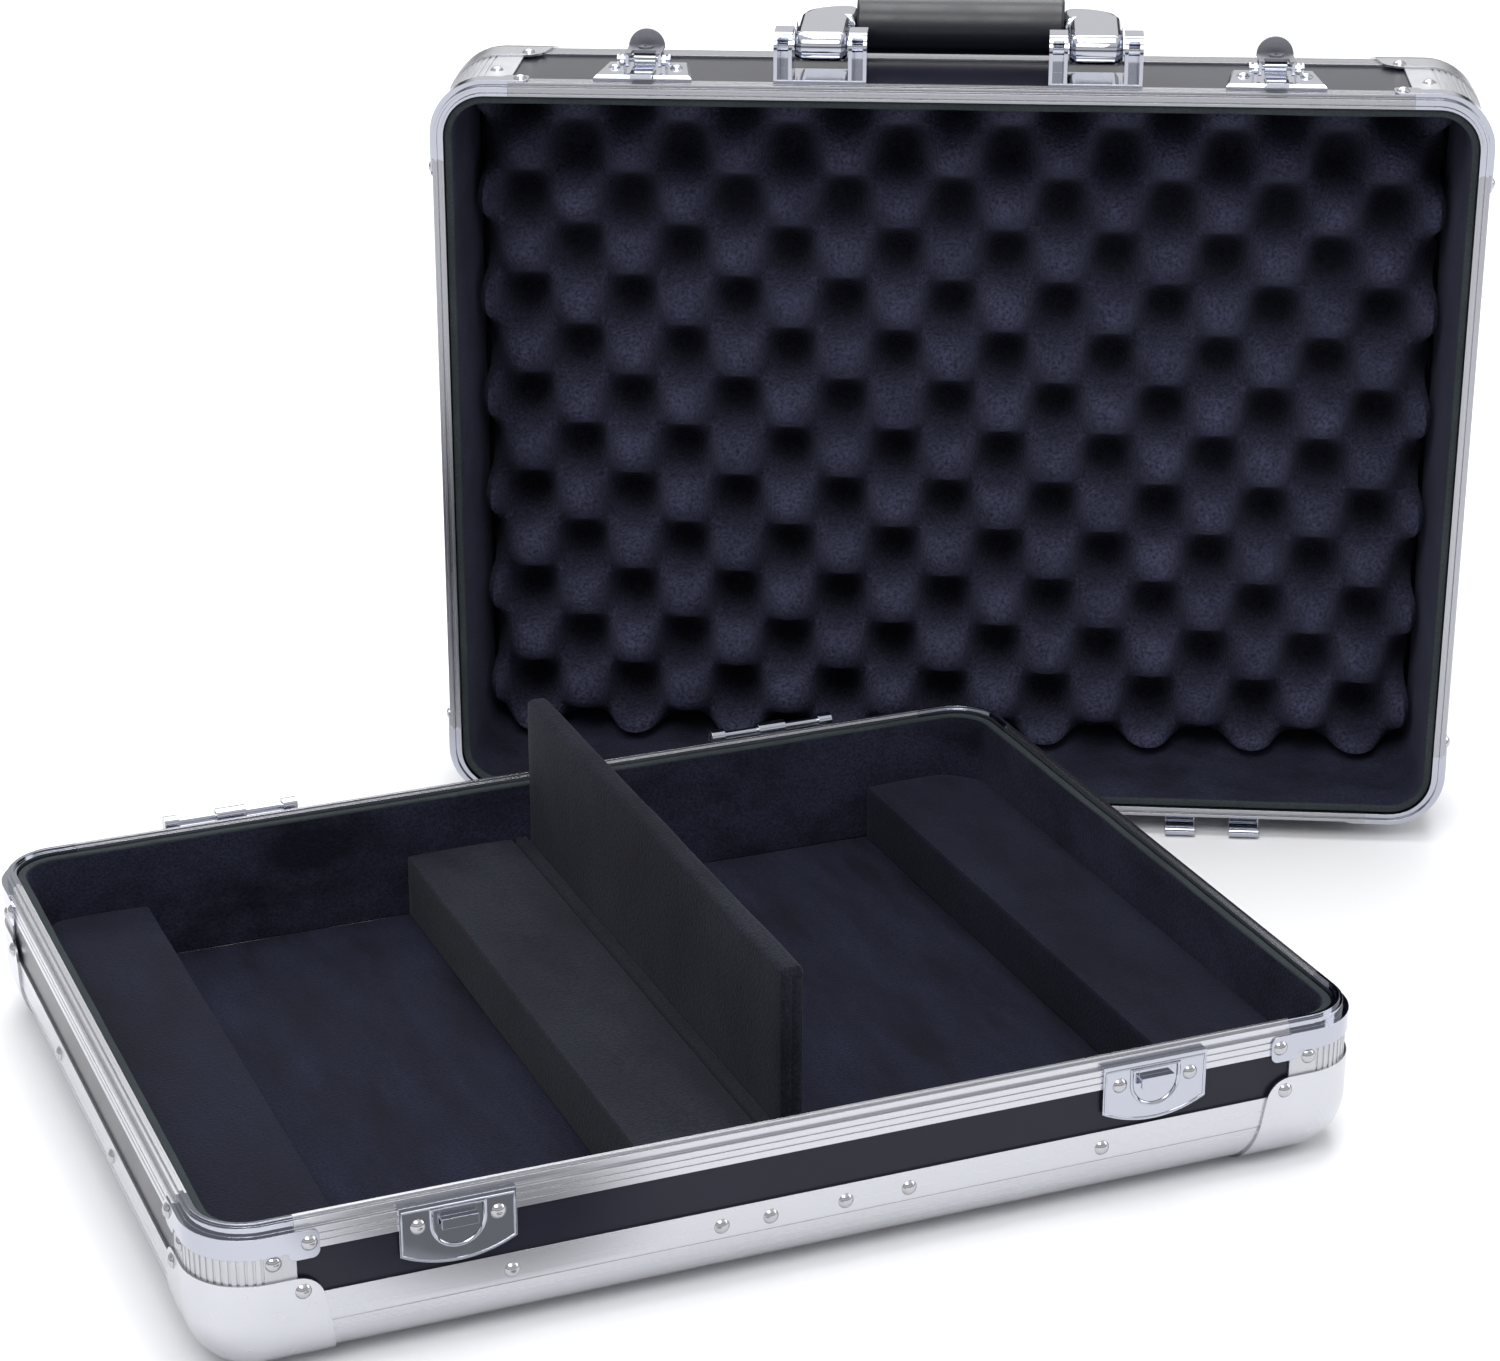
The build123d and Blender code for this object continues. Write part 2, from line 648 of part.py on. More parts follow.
def latch_lever(side):
    """Lever that turns on the stub pins, with an upright half-round thumb tab."""
    half = lever_width / 2
    body = block(-half, half, -lever_front, lever_length, lever_top, lever_top + lever_thick)
    notch = claw_width / 2 + 2 * soft_gap
    body -= block(-notch, notch, -2 * lever_front, claw_notch, 0, 2 * lever_top + lever_thick)
    for step in (-1, 1):
        ear = block(step * half, step * (half - lever_thick), -lever_front, claw_pin_offset + lever_ear_low,
                    -lever_ear_low, lever_top + lever_thick)
        body += fillet(ear.edges().filter_by(Axis.X).group_by(Axis.Z)[0], lever_ear_round)
    tab = Pos(0, thumb_rise - thumb_radius) * Circle(thumb_radius) & strip_area(
        -thumb_radius, thumb_radius, -lever_thick, thumb_rise)
    back = Plane(origin=(0, lever_length, lever_top + lever_thick), x_dir=(-1, 0, 0), z_dir=(0, 1, 0))
    body += extrude(back * tab, -lever_thick)
    body -= bar(0, 0, 0, latch_pin_radius + pin_play, 2 * lever_width)
    body -= bar(0, claw_pin_offset, 0, claw_pin_radius + pin_play, 2 * lever_width)
    body -= Pos(0, barrel_back, lever_top) * Cylinder(barrel_radius + barrel_play, 6 * lever_thick)
    return latch_frame(side) * body


def lock_barrel(side):
    """Key barrel in the lever, with a key slot."""
    barrel = Pos(0, barrel_back, lever_top + barrel_height / 2) * Cylinder(barrel_radius, barrel_height)
    return latch_frame(side) * (barrel - Pos(0, barrel_back, lever_top + barrel_height) * Box(*key_slot))


def latch_claw(side):
    """Claw that hangs on the lever's second pin and reaches towards the rim."""
    half = claw_width / 2
    low = -claw_drop
    reach = latch_pin_drop - claw_tip_back
    back = claw_pin_offset + claw_stem
    claw = bar(0, claw_pin_offset, 0, claw_pin_radius + claw_eye, claw_width)
    claw += bar(0, claw_pin_offset, 0, claw_pin_radius, lever_width)
    claw += block(-half, half, claw_pin_offset - claw_stem, back, low, 0)
    claw += block(-half, half, -reach, back, low, low + claw_thick)
    claw += block(-half, half, -reach, -reach + claw_thick, low - claw_lip, low + claw_thick)
    return latch_frame(side) * claw


def handle_frame(piece):
    """Places a handle piece: origin on the pivot axis, Y towards the panel, Z out of the wall."""
    return front_wall(0, handle_drop, handle_out) * piece


def bracket(side):
    """Chrome bracket with two hollow cheeks that carry the handle's pin."""
    under = contact_gap - handle_out
    y0 = bracket_edge_gap - handle_drop
    y1 = y0 + bracket_length
    half = bracket_width / 2
    body = block(-half, half, y0, y1, under, under + bracket_wall)
    for step in (-1, 1):
        x0, x1 = step * half, step * (half - bracket_cheek)
        cheek = block(x0, x1, y0, y1, under, under + bracket_height)
        cheek = fillet(cheek.edges().filter_by(Axis.X).group_by(Axis.Z)[-1], bracket_round)
        hollow = block(x0 - step * bracket_wall, x1 + step * bracket_wall, y0 - bracket_wall, y1 - bracket_wall,
                       under + bracket_wall, under + bracket_height - bracket_wall)
        hollow = fillet(hollow.edges().filter_by(Axis.X).group_by(Axis.Z)[-1], bracket_round - bracket_wall)
        body += cheek - hollow
    body -= bar(0, 0, 0, handle_pin_radius + contact_gap, 2 * bracket_width)
    return handle_frame(Pos(side * bracket_x, 0, 0) * body)


def handle_pin(side):
    return handle_frame(bar(side * bracket_x, 0, 0, handle_pin_radius, bracket_width))


def arm(side):
    """Chrome elbow from the bracket's pin round to the grip's end."""
    inner, outer = bracket_x - arm_width / 2, bracket_x + arm_width / 2
    end = grip_length / 2
    top = handle_reach + grip_radius
    outline = strip_area(inner, outer, 0, top - elbow_round)
    outline += strip_area(end, outer - elbow_round, handle_reach - grip_radius, top)
    outline += strip_area(inner, outer - elbow_round, handle_reach - grip_radius, top)
    outline += Pos(outer - elbow_round, top - elbow_round) * Circle(elbow_round) & strip_area(
        inner, outer, 0, top)
    body = Pos(0, 0, -arm_thick / 2) * extrude(outline, arm_thick)
    body += bar(bracket_x, 0, 0, arm_thick / 2, arm_width)
    body -= bar(bracket_x, 0, 0, handle_pin_radius + handle_pin_play, 2 * arm_width)
    body = handle_frame(body)
    return body if side > 0 else mirror(body, Plane.YZ)


def grip():
    """Plain round grip with slightly rounded ends."""
    body = bar(0, handle_reach, 0, grip_radius, grip_length - 2 * contact_gap)
    return handle_frame(fillet(body.edges().filter_by(GeomType.CIRCLE), grip_round))


def both(maker):
    return [maker(-1), maker(1)]


def write_half(prefix, rim, tongued, home):
    """Shell of the tray or the lid, up to its rim."""
    save(f"{prefix}_panel", panel(), home)
    save(f"{prefix}_corner_posts", corner_posts(rim), home)
    save(f"{prefix}_rim_corners", rim_corners(rim, tongued), home)
    save(f"{prefix}_corner_bands", corner_bands(rim), home)
    save(f"{prefix}_ball_corners", ball_corners(), home)
    save(f"{prefix}_wall_lining", wall_lining(rim), home)
    rim_short = rim_corner_leg + seat_gap / 2
    for name, group in (("front", ["front"]), ("rear", ["rear"]), ("sides", ["left", "right"])):
        save(f"{prefix}_wall_{name}", [wall_board(rim, wall) for wall in group], home)
        save(f"{prefix}_edge_{name}", [along_wall(edge_section(), wall, edge_short) for wall in group], home)
        save(f"{prefix}_rim_{name}", [along_wall(rim_section(rim, tongued), wall, rim_short)
                                      for wall in group], home)


def write_tray():
    write_half("tray", tray_rim, True, tray_home)
    rivets = half_rivets(tray_rim, tray_band_rivet_drop, front_rivets)
    save("tray_rivets", rivets + catch_rivets(), tray_home)
    save("tray_floor_lining", floor_lining(), tray_home)
    save("hinge_pins", both(hinge_pin), tray_home)
    for name, side in (("left", -1), ("right", 1)):
        save(f"catch_plate_{name}", catch_plate(side), tray_home)
        save(f"tray_hinge_{name}", tray_hinge(side), tray_home)
        save(f"support_strip_{name}", support_strip(side), tray_home)
    save("middle_block", middle_block(), tray_home)
    save("divider_board", divider(), tray_home)


def write_lid():
    turned = lid_home * Rot(0, 0, 180)
    write_half("lid", lid_rim, False, turned)
    save("lid_rivets", half_rivets(lid_rim, lid_band_rivet_drop, ()), turned)
    save("egg_foam", egg_foam(), lid_home)
    save("latch_pins", latch_pins(), lid_home)
    for name, side in (("left", -1), ("right", 1)):
        save(f"lid_hooks_{name}", lid_hooks(side), lid_home)
        save(f"latch_plate_{name}", latch_plate(side), lid_home)
        save(f"latch_lever_{name}", latch_lever(side), lid_home)
        save(f"lock_barrel_{name}", lock_barrel(side), lid_home)
        save(f"latch_claw_{name}", latch_claw(side), lid_home)
        save(f"handle_arm_{name}", arm(side), lid_home)
    save("handle_brackets", both(bracket), lid_home)
    save("handle_pins", both(handle_pin), lid_home)
    save("handle_grip", grip(), lid_home)


write_tray()
write_lid()
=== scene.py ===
import math

import bmesh
import bpy
from mathutils import Matrix, Vector, noise


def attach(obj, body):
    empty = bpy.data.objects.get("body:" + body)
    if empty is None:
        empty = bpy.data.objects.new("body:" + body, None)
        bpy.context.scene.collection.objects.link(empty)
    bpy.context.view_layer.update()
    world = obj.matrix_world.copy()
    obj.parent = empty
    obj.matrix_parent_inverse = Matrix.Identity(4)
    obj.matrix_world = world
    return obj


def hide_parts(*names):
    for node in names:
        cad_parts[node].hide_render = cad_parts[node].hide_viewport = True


# An open flight case on a pale floor: the tray in front, the lid upright behind its right corner.
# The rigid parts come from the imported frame. This script gives them their finishes and
# makes the soft parts: linings, foam, support strips, middle block and divider.

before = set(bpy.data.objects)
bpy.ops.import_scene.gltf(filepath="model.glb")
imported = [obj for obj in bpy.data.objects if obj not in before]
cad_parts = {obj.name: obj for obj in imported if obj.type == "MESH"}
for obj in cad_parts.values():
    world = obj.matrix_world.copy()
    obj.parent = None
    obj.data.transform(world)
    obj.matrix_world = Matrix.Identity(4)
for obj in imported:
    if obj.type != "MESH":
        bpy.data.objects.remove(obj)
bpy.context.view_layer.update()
millimetre = 0.001


def mm(*values):
    return Vector(values) * millimetre


def fromHex(code):
    # an sRGB hex code as a linear colour
    parts = [int(code[i:i + 2], 16) / 255 for i in (1, 3, 5)]
    return [p / 12.92 if p <= 0.04045 else ((p + 0.055) / 1.055) ** 2.4 for p in parts] + [1.0]


def addNode(tree, kind, links=(), stops=(), **values):
    # links are (input, socket) pairs, values are inputs or properties,
    # stops are the (position, linear colour or grey) of a colour ramp
    node = tree.nodes.new("ShaderNode" + kind)
    for key, value in values.items():
        label = key.replace("_", " ")
        if label in node.inputs:
            node.inputs[label].default_value = value
        else:
            setattr(node, key, value)
    for key, socket in links:
        tree.links.new(socket, node.inputs[key])
    if stops:
        elements = node.color_ramp.elements
        while len(elements) < len(stops):
            elements.new(0.5)
        for element, (position, value) in zip(elements, stops):
            element.position = position
            element.color = value if isinstance(value, (list, tuple)) else (value, value, value, 1)
    return node


def newMaterial(name):
    # an empty material with a Principled shader: (material, tree, shader, object coordinates)
    material = bpy.data.materials.new(name)
    material.use_nodes = True
    tree = material.node_tree
    tree.nodes.clear()
    shader = addNode(tree, "BsdfPrincipled")
    output = addNode(tree, "OutputMaterial")
    tree.links.new(shader.outputs[0], output.inputs[0])
    coords = addNode(tree, "TexCoord").outputs["Object"]
    return material, tree, shader, coords


def perMetre(size):
    # pattern cells per metre for a cell of so many millimetres
    return 1000 / size


def overNoise(low, high):
    # ramp stops over the span where most of a noise texture's values lie
    return [(0.3, low), (0.7, high)]


def stretched(tree, coords, sizes, yaw=0.0):
    # coordinates turned by yaw about Z, then scaled to a cell of these sizes in mm
    turned = addNode(tree, "Mapping", [(0, coords)], Rotation=(0, 0, -yaw)).outputs[0]
    return addNode(tree, "Mapping", [(0, turned)], Scale=[perMetre(size) for size in sizes]).outputs[0]


def dress(names, material):
    # gives carried-over CAD nodes a material
    for name in names:
        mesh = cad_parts[name].data
        mesh.materials.clear()
        mesh.materials.append(material)


# where things are, in mm, from the same numbers as the CAD part
case = {
    "halfWidth": 230.0, "halfDepth": 170.0, "cornerRadius": 24.0,
    "panelSeat": 2.0,            # underside of the caps to the walls' own zero
    "trayRim": 60.5, "lidRim": 94.0,
    "liningOut": 5.9, "liningFace": 9.3, "liningDrop": 1.5,
    "floorTop": 5.7, "floorUnder": 4.7,
}
lidYaw = math.radians(-26.73)
lidCorner = mm(210.950, 172.058, 7.85)
alongLid = Vector((math.cos(lidYaw), math.sin(lidYaw), 0))
intoLid = Vector((-math.sin(lidYaw), math.cos(lidYaw), 0))


def inTray(x, y, z):
    # a point of the tray in metres, z over the walls' zero
    return mm(x, y, z + case["panelSeat"])


def inLid(x, y, z):
    # a point of the lid: y from its middle towards the handle, z from its top panel to the rim
    depth = (case["lidRim"] - z) * millimetre
    up = (y + case["halfDepth"]) * millimetre
    return lidCorner + alongLid * (x * millimetre) + intoLid * depth + Vector((0, 0, up))


# grain is the size of one streak or cloud in mm along X, Y and Z, edge the radius of a softened edge.
# The real streaks of the extrusions are near 0.1 mm: they are drawn at 1.1 mm, so that they show.
metals = {
    # satin extrusion: draws the light out along each bar
    "anodisedAluminiumTray": {"colour": "#C4C5CA", "roughness": 0.26, "spread": 0.03, "bump": 0.05,
                              "grain": (333, 333, 1.111), "edge": 0.25},
    # the lid's bars are the same extrusion as the tray's, given painted shade: a darker colour
    "anodisedAluminiumLidPaintedShade": {"colour": "#A8A9AE", "roughness": 0.26, "spread": 0.03, "bump": 0.05,
                             "grain": (333, 1.111, 333), "edge": 0.25, "yaw": lidYaw},
    # deep-drawn sheet: a smoother, whiter shine with a faint cloudiness
    "drawnAluminium": {"colour": "#C6C7CC", "roughness": 0.24, "spread": 0.04, "bump": 0.1,
                       "grain": (11.11, 11.11, 11.11), "edge": 0.2},
    # rolled band: a flatter shine, so the flutes stay faint
    "rolledAluminiumBand": {"colour": "#BDBEC2", "roughness": 0.42, "spread": 0.04, "bump": 0.05,
                            "grain": (11.11, 11.11, 11.11), "edge": 0.4},
    # plated steel: black and white reflections with a faint haze
    "chromePlate": {"colour": "#B2B5BF", "roughness": 0.07, "spread": 0.03, "bump": 0.03,
                    "grain": (6.25, 6.25, 6.25), "edge": 0.3},
    # nickelled dome heads: one small bright spot each
    "nickelRivet": {"colour": "#B4B4B8", "roughness": 0.16, "spread": 0.04, "bump": 0.06,
                    "grain": (2, 2, 2), "edge": 0.2},
    # worn steel of the key barrels and thumb tabs: a dull dark grey
    "wornSteel": {"colour": "#85868C", "roughness": 0.45, "spread": 0.08, "bump": 0.2,
                  "grain": (1.429, 1.429, 1.429), "edge": 0.1},
}
metalBase = {"detail": 3.0, "bumpDepth": 0.05, "edgeSamples": 4}


def metal(name, look):
    # fine streaks vary the polish, and the bevel node lets hard edges catch the light
    material, tree, shader, coords = newMaterial(name)
    shader.inputs["Base Color"].default_value = fromHex(look["colour"])
    shader.inputs["Metallic"].default_value = 1.0
    grain = stretched(tree, coords, look["grain"], look.get("yaw", 0.0))
    streaks = addNode(tree, "TexNoise", [("Vector", grain)],
                      Scale=1.0, Detail=metalBase["detail"]).outputs[0]
    middle, spread = look["roughness"], look["spread"]
    rough = addNode(tree, "ValToRGB", [(0, streaks)], overNoise(middle - spread, middle + spread))
    tree.links.new(rough.outputs[0], shader.inputs["Roughness"])
    roundEdge = addNode(tree, "Bevel", samples=metalBase["edgeSamples"],
                        Radius=look["edge"] * millimetre).outputs[0]
    bump = addNode(tree, "Bump", [("Height", streaks), ("Normal", roundEdge)],
                   Strength=look["bump"], Distance=metalBase["bumpDepth"] * millimetre)
    tree.links.new(bump.outputs[0], shader.inputs["Normal"])
    return material


# pressed laminate sheet: a near-black blue whose fine pebble breaks up a satin reflection.
# cloud and pebble are sizes in mm
laminateLook = {"dark": "#1C1D29", "light": "#1F202D", "cloud": 33.33, "detail": 4.0, "pebble": 0.7143,
                "bump": 0.08, "bumpDepth": 0.1, "roughness": (0.20, 0.24), "specular": 0.2}


def laminateSheet(look):
    material, tree, shader, coords = newMaterial("pressedLaminate")
    clouds = addNode(tree, "TexNoise", [("Vector", coords)],
                     Scale=perMetre(look["cloud"]), Detail=look["detail"]).outputs[0]
    tone = addNode(tree, "ValToRGB", [(0, clouds)],
                   overNoise(fromHex(look["dark"]), fromHex(look["light"])))
    tree.links.new(tone.outputs[0], shader.inputs["Base Color"])
    pebble = addNode(tree, "TexVoronoi", [("Vector", coords)], Scale=perMetre(look["pebble"])).outputs[0]
    bump = addNode(tree, "Bump", [("Height", pebble)],
                   Strength=look["bump"], Distance=look["bumpDepth"] * millimetre)
    tree.links.new(bump.outputs[0], shader.inputs["Normal"])
    rough = addNode(tree, "ValToRGB", [(0, clouds)], overNoise(*look["roughness"]))
    tree.links.new(rough.outputs[0], shader.inputs["Roughness"])
    shader.inputs["Specular IOR Level"].default_value = look["specular"]
    return material


# patch is the size of the brushed places in mm along X, Y and Z, pile the bump's depth in mm.
# The real pile is finer than 0.2 mm: fibre is drawn at 1.1 mm, so that it shows.
cloths = {
    # the colour of the walls' lining leans to blue, with brushed darker places
    "velourLining": {"dark": "#10121D", "light": "#282A3B", "patch": (45.45, 45.45, 29.41),
                     "fibre": 1.111, "grain": 0.45, "bump": 0.8, "pile": 0.5,
                     "sheen": 0.12, "sheenTint": "#A0A4C8"},
    # flat and darker, with brushed marks that run across it
    "velourFloor": {"dark": "#0E0F1A", "light": "#1E2030", "patch": (21.74, 76.92, 50),
                    "fibre": 1.111, "grain": 0.45, "bump": 0.8, "pile": 0.5,
                    "sheen": 0.07, "sheenTint": "#A0A4C8"},
    # the block's cover is greyer than the lining, with a little more sheen
    "velourBlockCover": {"dark": "#161821", "light": "#23252E", "patch": (33.33, 83.33, 33.33),
                         "fibre": 1.111, "grain": 0.4, "bump": 0.8, "pile": 0.5,
                         "sheen": 0.14, "sheenTint": "#B4B4BC"},
    # the strips' cover is close to the floor in tone
    "velourStripCover": {"dark": "#0D0F1A", "light": "#1B1D2B", "patch": (33.33, 83.33, 33.33),
                         "fibre": 1.111, "grain": 0.4, "bump": 0.8, "pile": 0.5,
                         "sheen": 0.10, "sheenTint": "#A8AAC4"},
    # the divider's cover is rubbed unevenly by hands
    "velourDividerCover": {"dark": "#0C0E16", "light": "#1F212A", "patch": (33.33, 45.45, 62.5),
                           "fibre": 1.111, "grain": 0.5, "bump": 0.8, "pile": 0.5,
                           "sheen": 0.12, "sheenTint": "#B0B0C0"},
    # the lining's top edge, a flat grey-green line inside the rim, painted lighter as a painted highlight
    # where it faces the light
    "paintedLitLiningEdge": {"dark": "#2C3235", "light": "#363C3F", "patch": (33.33, 33.33, 33.33),
                      "fibre": 1.111, "grain": 0.2, "bump": 0.3, "pile": 0.2,
                      "sheen": 0.05, "sheenTint": "#B0B8B8"},
    # open cells show as a coarse speckle, and the hollows get painted shade, darker towards their bottoms;
    # the real cells are near 1 mm and are drawn at 1.6 mm, so that they show
    "openCellFoam": {"dark": "#303144", "light": "#3E3F54", "patch": (33.33, 33.33, 33.33),
                     "fibre": 1.5625, "grain": 0.55, "bump": 1.0, "pile": 1.6,
                     "sheen": 0.10, "sheenTint": "#A8AAD0", "hollows": 0.2},
}
# hollowShadeSpan: the heights over which the painted shade in the foam's hollows fades out
clothBase = {"brushed": (0.34, 0.66), "patchDetail": 5.0, "patchRoughness": 0.6, "fibreDetail": 3.0,
             "hollowShadeSpan": (0.05, 0.8), "sheenRoughness": 0.45, "specular": 0.15,
             "roughness": (0.85, 1.0)}


def napped(name, look):
    # brushed light and dark patches, a fine fibre grain and a soft sheen
    material, tree, shader, coords = newMaterial(name)
    base = clothBase
    places = stretched(tree, coords, look["patch"])
    patches = addNode(tree, "TexNoise", [("Vector", places)], Scale=1.0, Detail=base["patchDetail"],
                      Roughness=base["patchRoughness"]).outputs[0]
    fibres = addNode(tree, "TexNoise", [("Vector", coords)],
                     Scale=perMetre(look["fibre"]), Detail=base["fibreDetail"]).outputs[0]
    tones = zip(base["brushed"], (fromHex(look["dark"]), fromHex(look["light"])))
    colour = addNode(tree, "ValToRGB", [(0, patches)], list(tones)).outputs[0]
    shades = []
    # painted shade: the foam's colour is darkened towards the bottoms of its hollows
    if "hollows" in look:
        height = addNode(tree, "Attribute", attribute_name="height").outputs["Fac"]
        hollowShadeStops = zip(base["hollowShadeSpan"], (look["hollows"], 1.0))
        shades.append(addNode(tree, "ValToRGB", [(0, height)], list(hollowShadeStops)))
    speckle = overNoise(1 - look["grain"], 1 + look["grain"])
    shades.append(addNode(tree, "ValToRGB", [(0, fibres)], speckle))
    for shade in shades:
        mixed = addNode(tree, "Mix", [(6, colour), (7, shade.outputs[0])],
                        data_type="RGBA", blend_type="MULTIPLY")
        mixed.inputs[0].default_value = 1.0
        colour = mixed.outputs[2]
    tree.links.new(colour, shader.inputs["Base Color"])
    bump = addNode(tree, "Bump", [("Height", fibres)],
                   Strength=look["bump"], Distance=look["pile"] * millimetre)
    tree.links.new(bump.outputs[0], shader.inputs["Normal"])
    rough = addNode(tree, "ValToRGB", [(0, patches)], overNoise(*base["roughness"]))
    tree.links.new(rough.outputs[0], shader.inputs["Roughness"])
    shader.inputs["Sheen Weight"].default_value = look["sheen"]
    shader.inputs["Sheen Roughness"].default_value = base["sheenRoughness"]
    shader.inputs["Sheen Tint"].default_value = fromHex(look["sheenTint"])
    shader.inputs["Specular IOR Level"].default_value = base["specular"]
    return material


# moulded plastic of the grip: black with a satin line of light and a leather-like grain.
# grain and smear are sizes in mm
gripLook = {"dark": "#0A0C17", "light": "#10121F", "grain": 1.111, "grainSpan": (0.0, 0.8),
            "bump": 0.2, "bumpDepth": 0.1, "smear": 16.67, "roughness": (0.30, 0.42)}


def gripPlastic(look):
    material, tree, shader, coords = newMaterial("mouldedBlackPlastic")
    grain = addNode(tree, "TexVoronoi", [("Vector", coords)], Scale=perMetre(look["grain"])).outputs[0]
    tones = zip(look["grainSpan"], (fromHex(look["dark"]), fromHex(look["light"])))
    tone = addNode(tree, "ValToRGB", [(0, grain)], list(tones))
    tree.links.new(tone.outputs[0], shader.inputs["Base Color"])
    bump = addNode(tree, "Bump", [("Height", grain)],
                   Strength=look["bump"], Distance=look["bumpDepth"] * millimetre)
    tree.links.new(bump.outputs[0], shader.inputs["Normal"])
    smear = addNode(tree, "TexNoise", [("Vector", coords)], Scale=perMetre(look["smear"])).outputs[0]
    rough = addNode(tree, "ValToRGB", [(0, smear)], overNoise(*look["roughness"]))
    tree.links.new(rough.outputs[0], shader.inputs["Roughness"])
    return material


metalFor = {name: metal(name, look) for name, look in metals.items()}
clothFor = {name: napped(name, look) for name, look in cloths.items()}
laminate = laminateSheet(laminateLook)
gripFinish = gripPlastic(gripLook)

for shell, bars in (("tray", "anodisedAluminiumTray"), ("lid", "anodisedAluminiumLidPaintedShade")):
    dress([f"{shell}_{part}_{wall}" for part in ("edge", "rim") for wall in ("front", "rear", "sides")],
          metalFor[bars])
    dress([f"{shell}_{part}" for part in ("panel", "corner_posts", "wall_front", "wall_rear", "wall_sides")],
          laminate)
    dress([f"{shell}_ball_corners"], metalFor["drawnAluminium"])
    dress([f"{shell}_corner_bands"], metalFor["rolledAluminiumBand"])
    dress([f"{shell}_rim_corners"], metalFor["chromePlate"])
    dress([f"{shell}_rivets"], metalFor["nickelRivet"])
for side in ("left", "right"):
    dress([f"catch_plate_{side}", f"tray_hinge_{side}", f"lid_hooks_{side}", f"latch_plate_{side}",
           f"latch_lever_{side}", f"latch_claw_{side}", f"handle_arm_{side}"], metalFor["chromePlate"])
    dress([f"lock_barrel_{side}"], metalFor["wornSteel"])
dress(["hinge_pins", "latch_pins", "handle_brackets", "handle_pins"], metalFor["chromePlate"])
dress(["handle_grip"], gripFinish)

tabLook = {"reach": 10.5}        # how far the dark thumb tab comes down from the lever's top


def darkTab(name):
    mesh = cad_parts[name].data
    mesh.materials.append(metalFor["wornSteel"])
    foot = max(vertex.co.z for vertex in mesh.vertices) - tabLook["reach"] * millimetre
    for face in mesh.polygons:
        if min(mesh.vertices[index].co.z for index in face.vertices) > foot:
            face.material_index = 1


darkTab("latch_lever_left")
darkTab("latch_lever_right")
print("finishes on the rigid parts")


def buildPiece(name, rings, closed, **facts):
    # a mesh from rings of points; closed joins the last ring to the first, otherwise ends are capped
    count = len(rings[0])
    points = [point for ring in rings for point in ring]
    faces = []
    for i in range(len(rings) if closed else len(rings) - 1):
        j = (i + 1) % len(rings)
        for k in range(count):
            m = (k + 1) % count
            faces.append((i * count + k, i * count + m, j * count + m, j * count + k))
    if not closed:
        faces.append(tuple(range(count - 1, -1, -1)))
        faces.append(tuple((len(rings) - 1) * count + k for k in range(count)))
    return finishPiece(name, newMesh(name, points, faces), **facts)


def newMesh(name, points, faces):
    mesh = bpy.data.meshes.new(name)
    mesh.from_pydata([tuple(point) for point in points], [], faces)
    return mesh


pieceLook = {"sharpFrom": 38}    # degrees between faces from which an edge stays sharp


def finishPiece(name, mesh, body, slot, material, replaced=(), fill=None):
    mesh.validate()
    piece = bpy.data.objects.new(name, mesh)
    bpy.context.scene.collection.objects.link(piece)
    outward(mesh)
    mesh.shade_smooth()
    mesh.set_sharp_from_angle(angle=math.radians(pieceLook["sharpFrom"]))
    mesh.materials.append(material)
    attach(piece, body)
    if replaced:
        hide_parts(*replaced)
    return piece


def outward(mesh):
    work = bmesh.new()
    work.from_mesh(mesh)
    bmesh.ops.recalc_face_normals(work, faces=work.faces)
    work.to_mesh(mesh)
    work.free()


def ripple(point, amount, size, seed):
    # a smooth offset in mm, from noise with the given size in mm
    return noise.noise(Vector(point) / size + Vector((seed, seed, seed))) * amount


def roundedLoop(corners, steps=4):
    # a closed outline through (x, z, radius) corners, rounded off
    loop = []
    for index, (x, z, radius) in enumerate(corners):
        here = Vector((x, z))
        before = Vector(corners[index - 1][:2])
        after = Vector(corners[(index + 1) % len(corners)][:2])
        if radius <= 0:
            loop.append(here)
            continue
        into, out = (before - here).normalized(), (after - here).normalized()
        reach = radius / math.tan(into.angle(out) / 2)
        reach = min(reach, (before - here).length / 2, (after - here).length / 2)
        start, end = here + into * reach, here + out * reach
        for step in range(steps + 1):
            t = step / steps
            loop.append((1 - t) ** 2 * start + 2 * t * (1 - t) * here + t ** 2 * end)
    return loop


def divided(loop, longest):
    # the same loop with its long runs split, so that they can crown and ripple
    result = []
    for index, point in enumerate(loop):
        after = loop[(index + 1) % len(loop)]
        parts = max(1, math.ceil((after - point).length / longest))
        result += [point.lerp(after, step / parts) for step in range(parts)]
    return result


def shrunk(loop, distance):
    # the loop moved inward by a distance, for a counter-clockwise loop
    if distance <= 0:
        return loop
    result = []
    for index, point in enumerate(loop):
        along = loop[(index + 1) % len(loop)] - loop[index - 1]
        if along.length < 1e-9:
            result.append(point)
            continue
        along.normalize()
        result.append(point + Vector((-along.y, along.x)) * distance)
    return result


def endInset(t, start, end, radius):
    # how far a rounded end draws the outline in at t
    near = min(t - start, end - t)
    if near >= radius:
        return 0.0
    return radius - math.sqrt(max(radius ** 2 - (radius - near) ** 2, 0.0))


# what the padded bars share: rounding, crown, the steps of their rings, and how far a cover may rise
softLook = {"edge": 2.4, "end": 2.6, "crown": 0.5, "crownDepth": 0.3, "endSteps": 4, "ringStep": 6.0,
            "rise": 0.05}


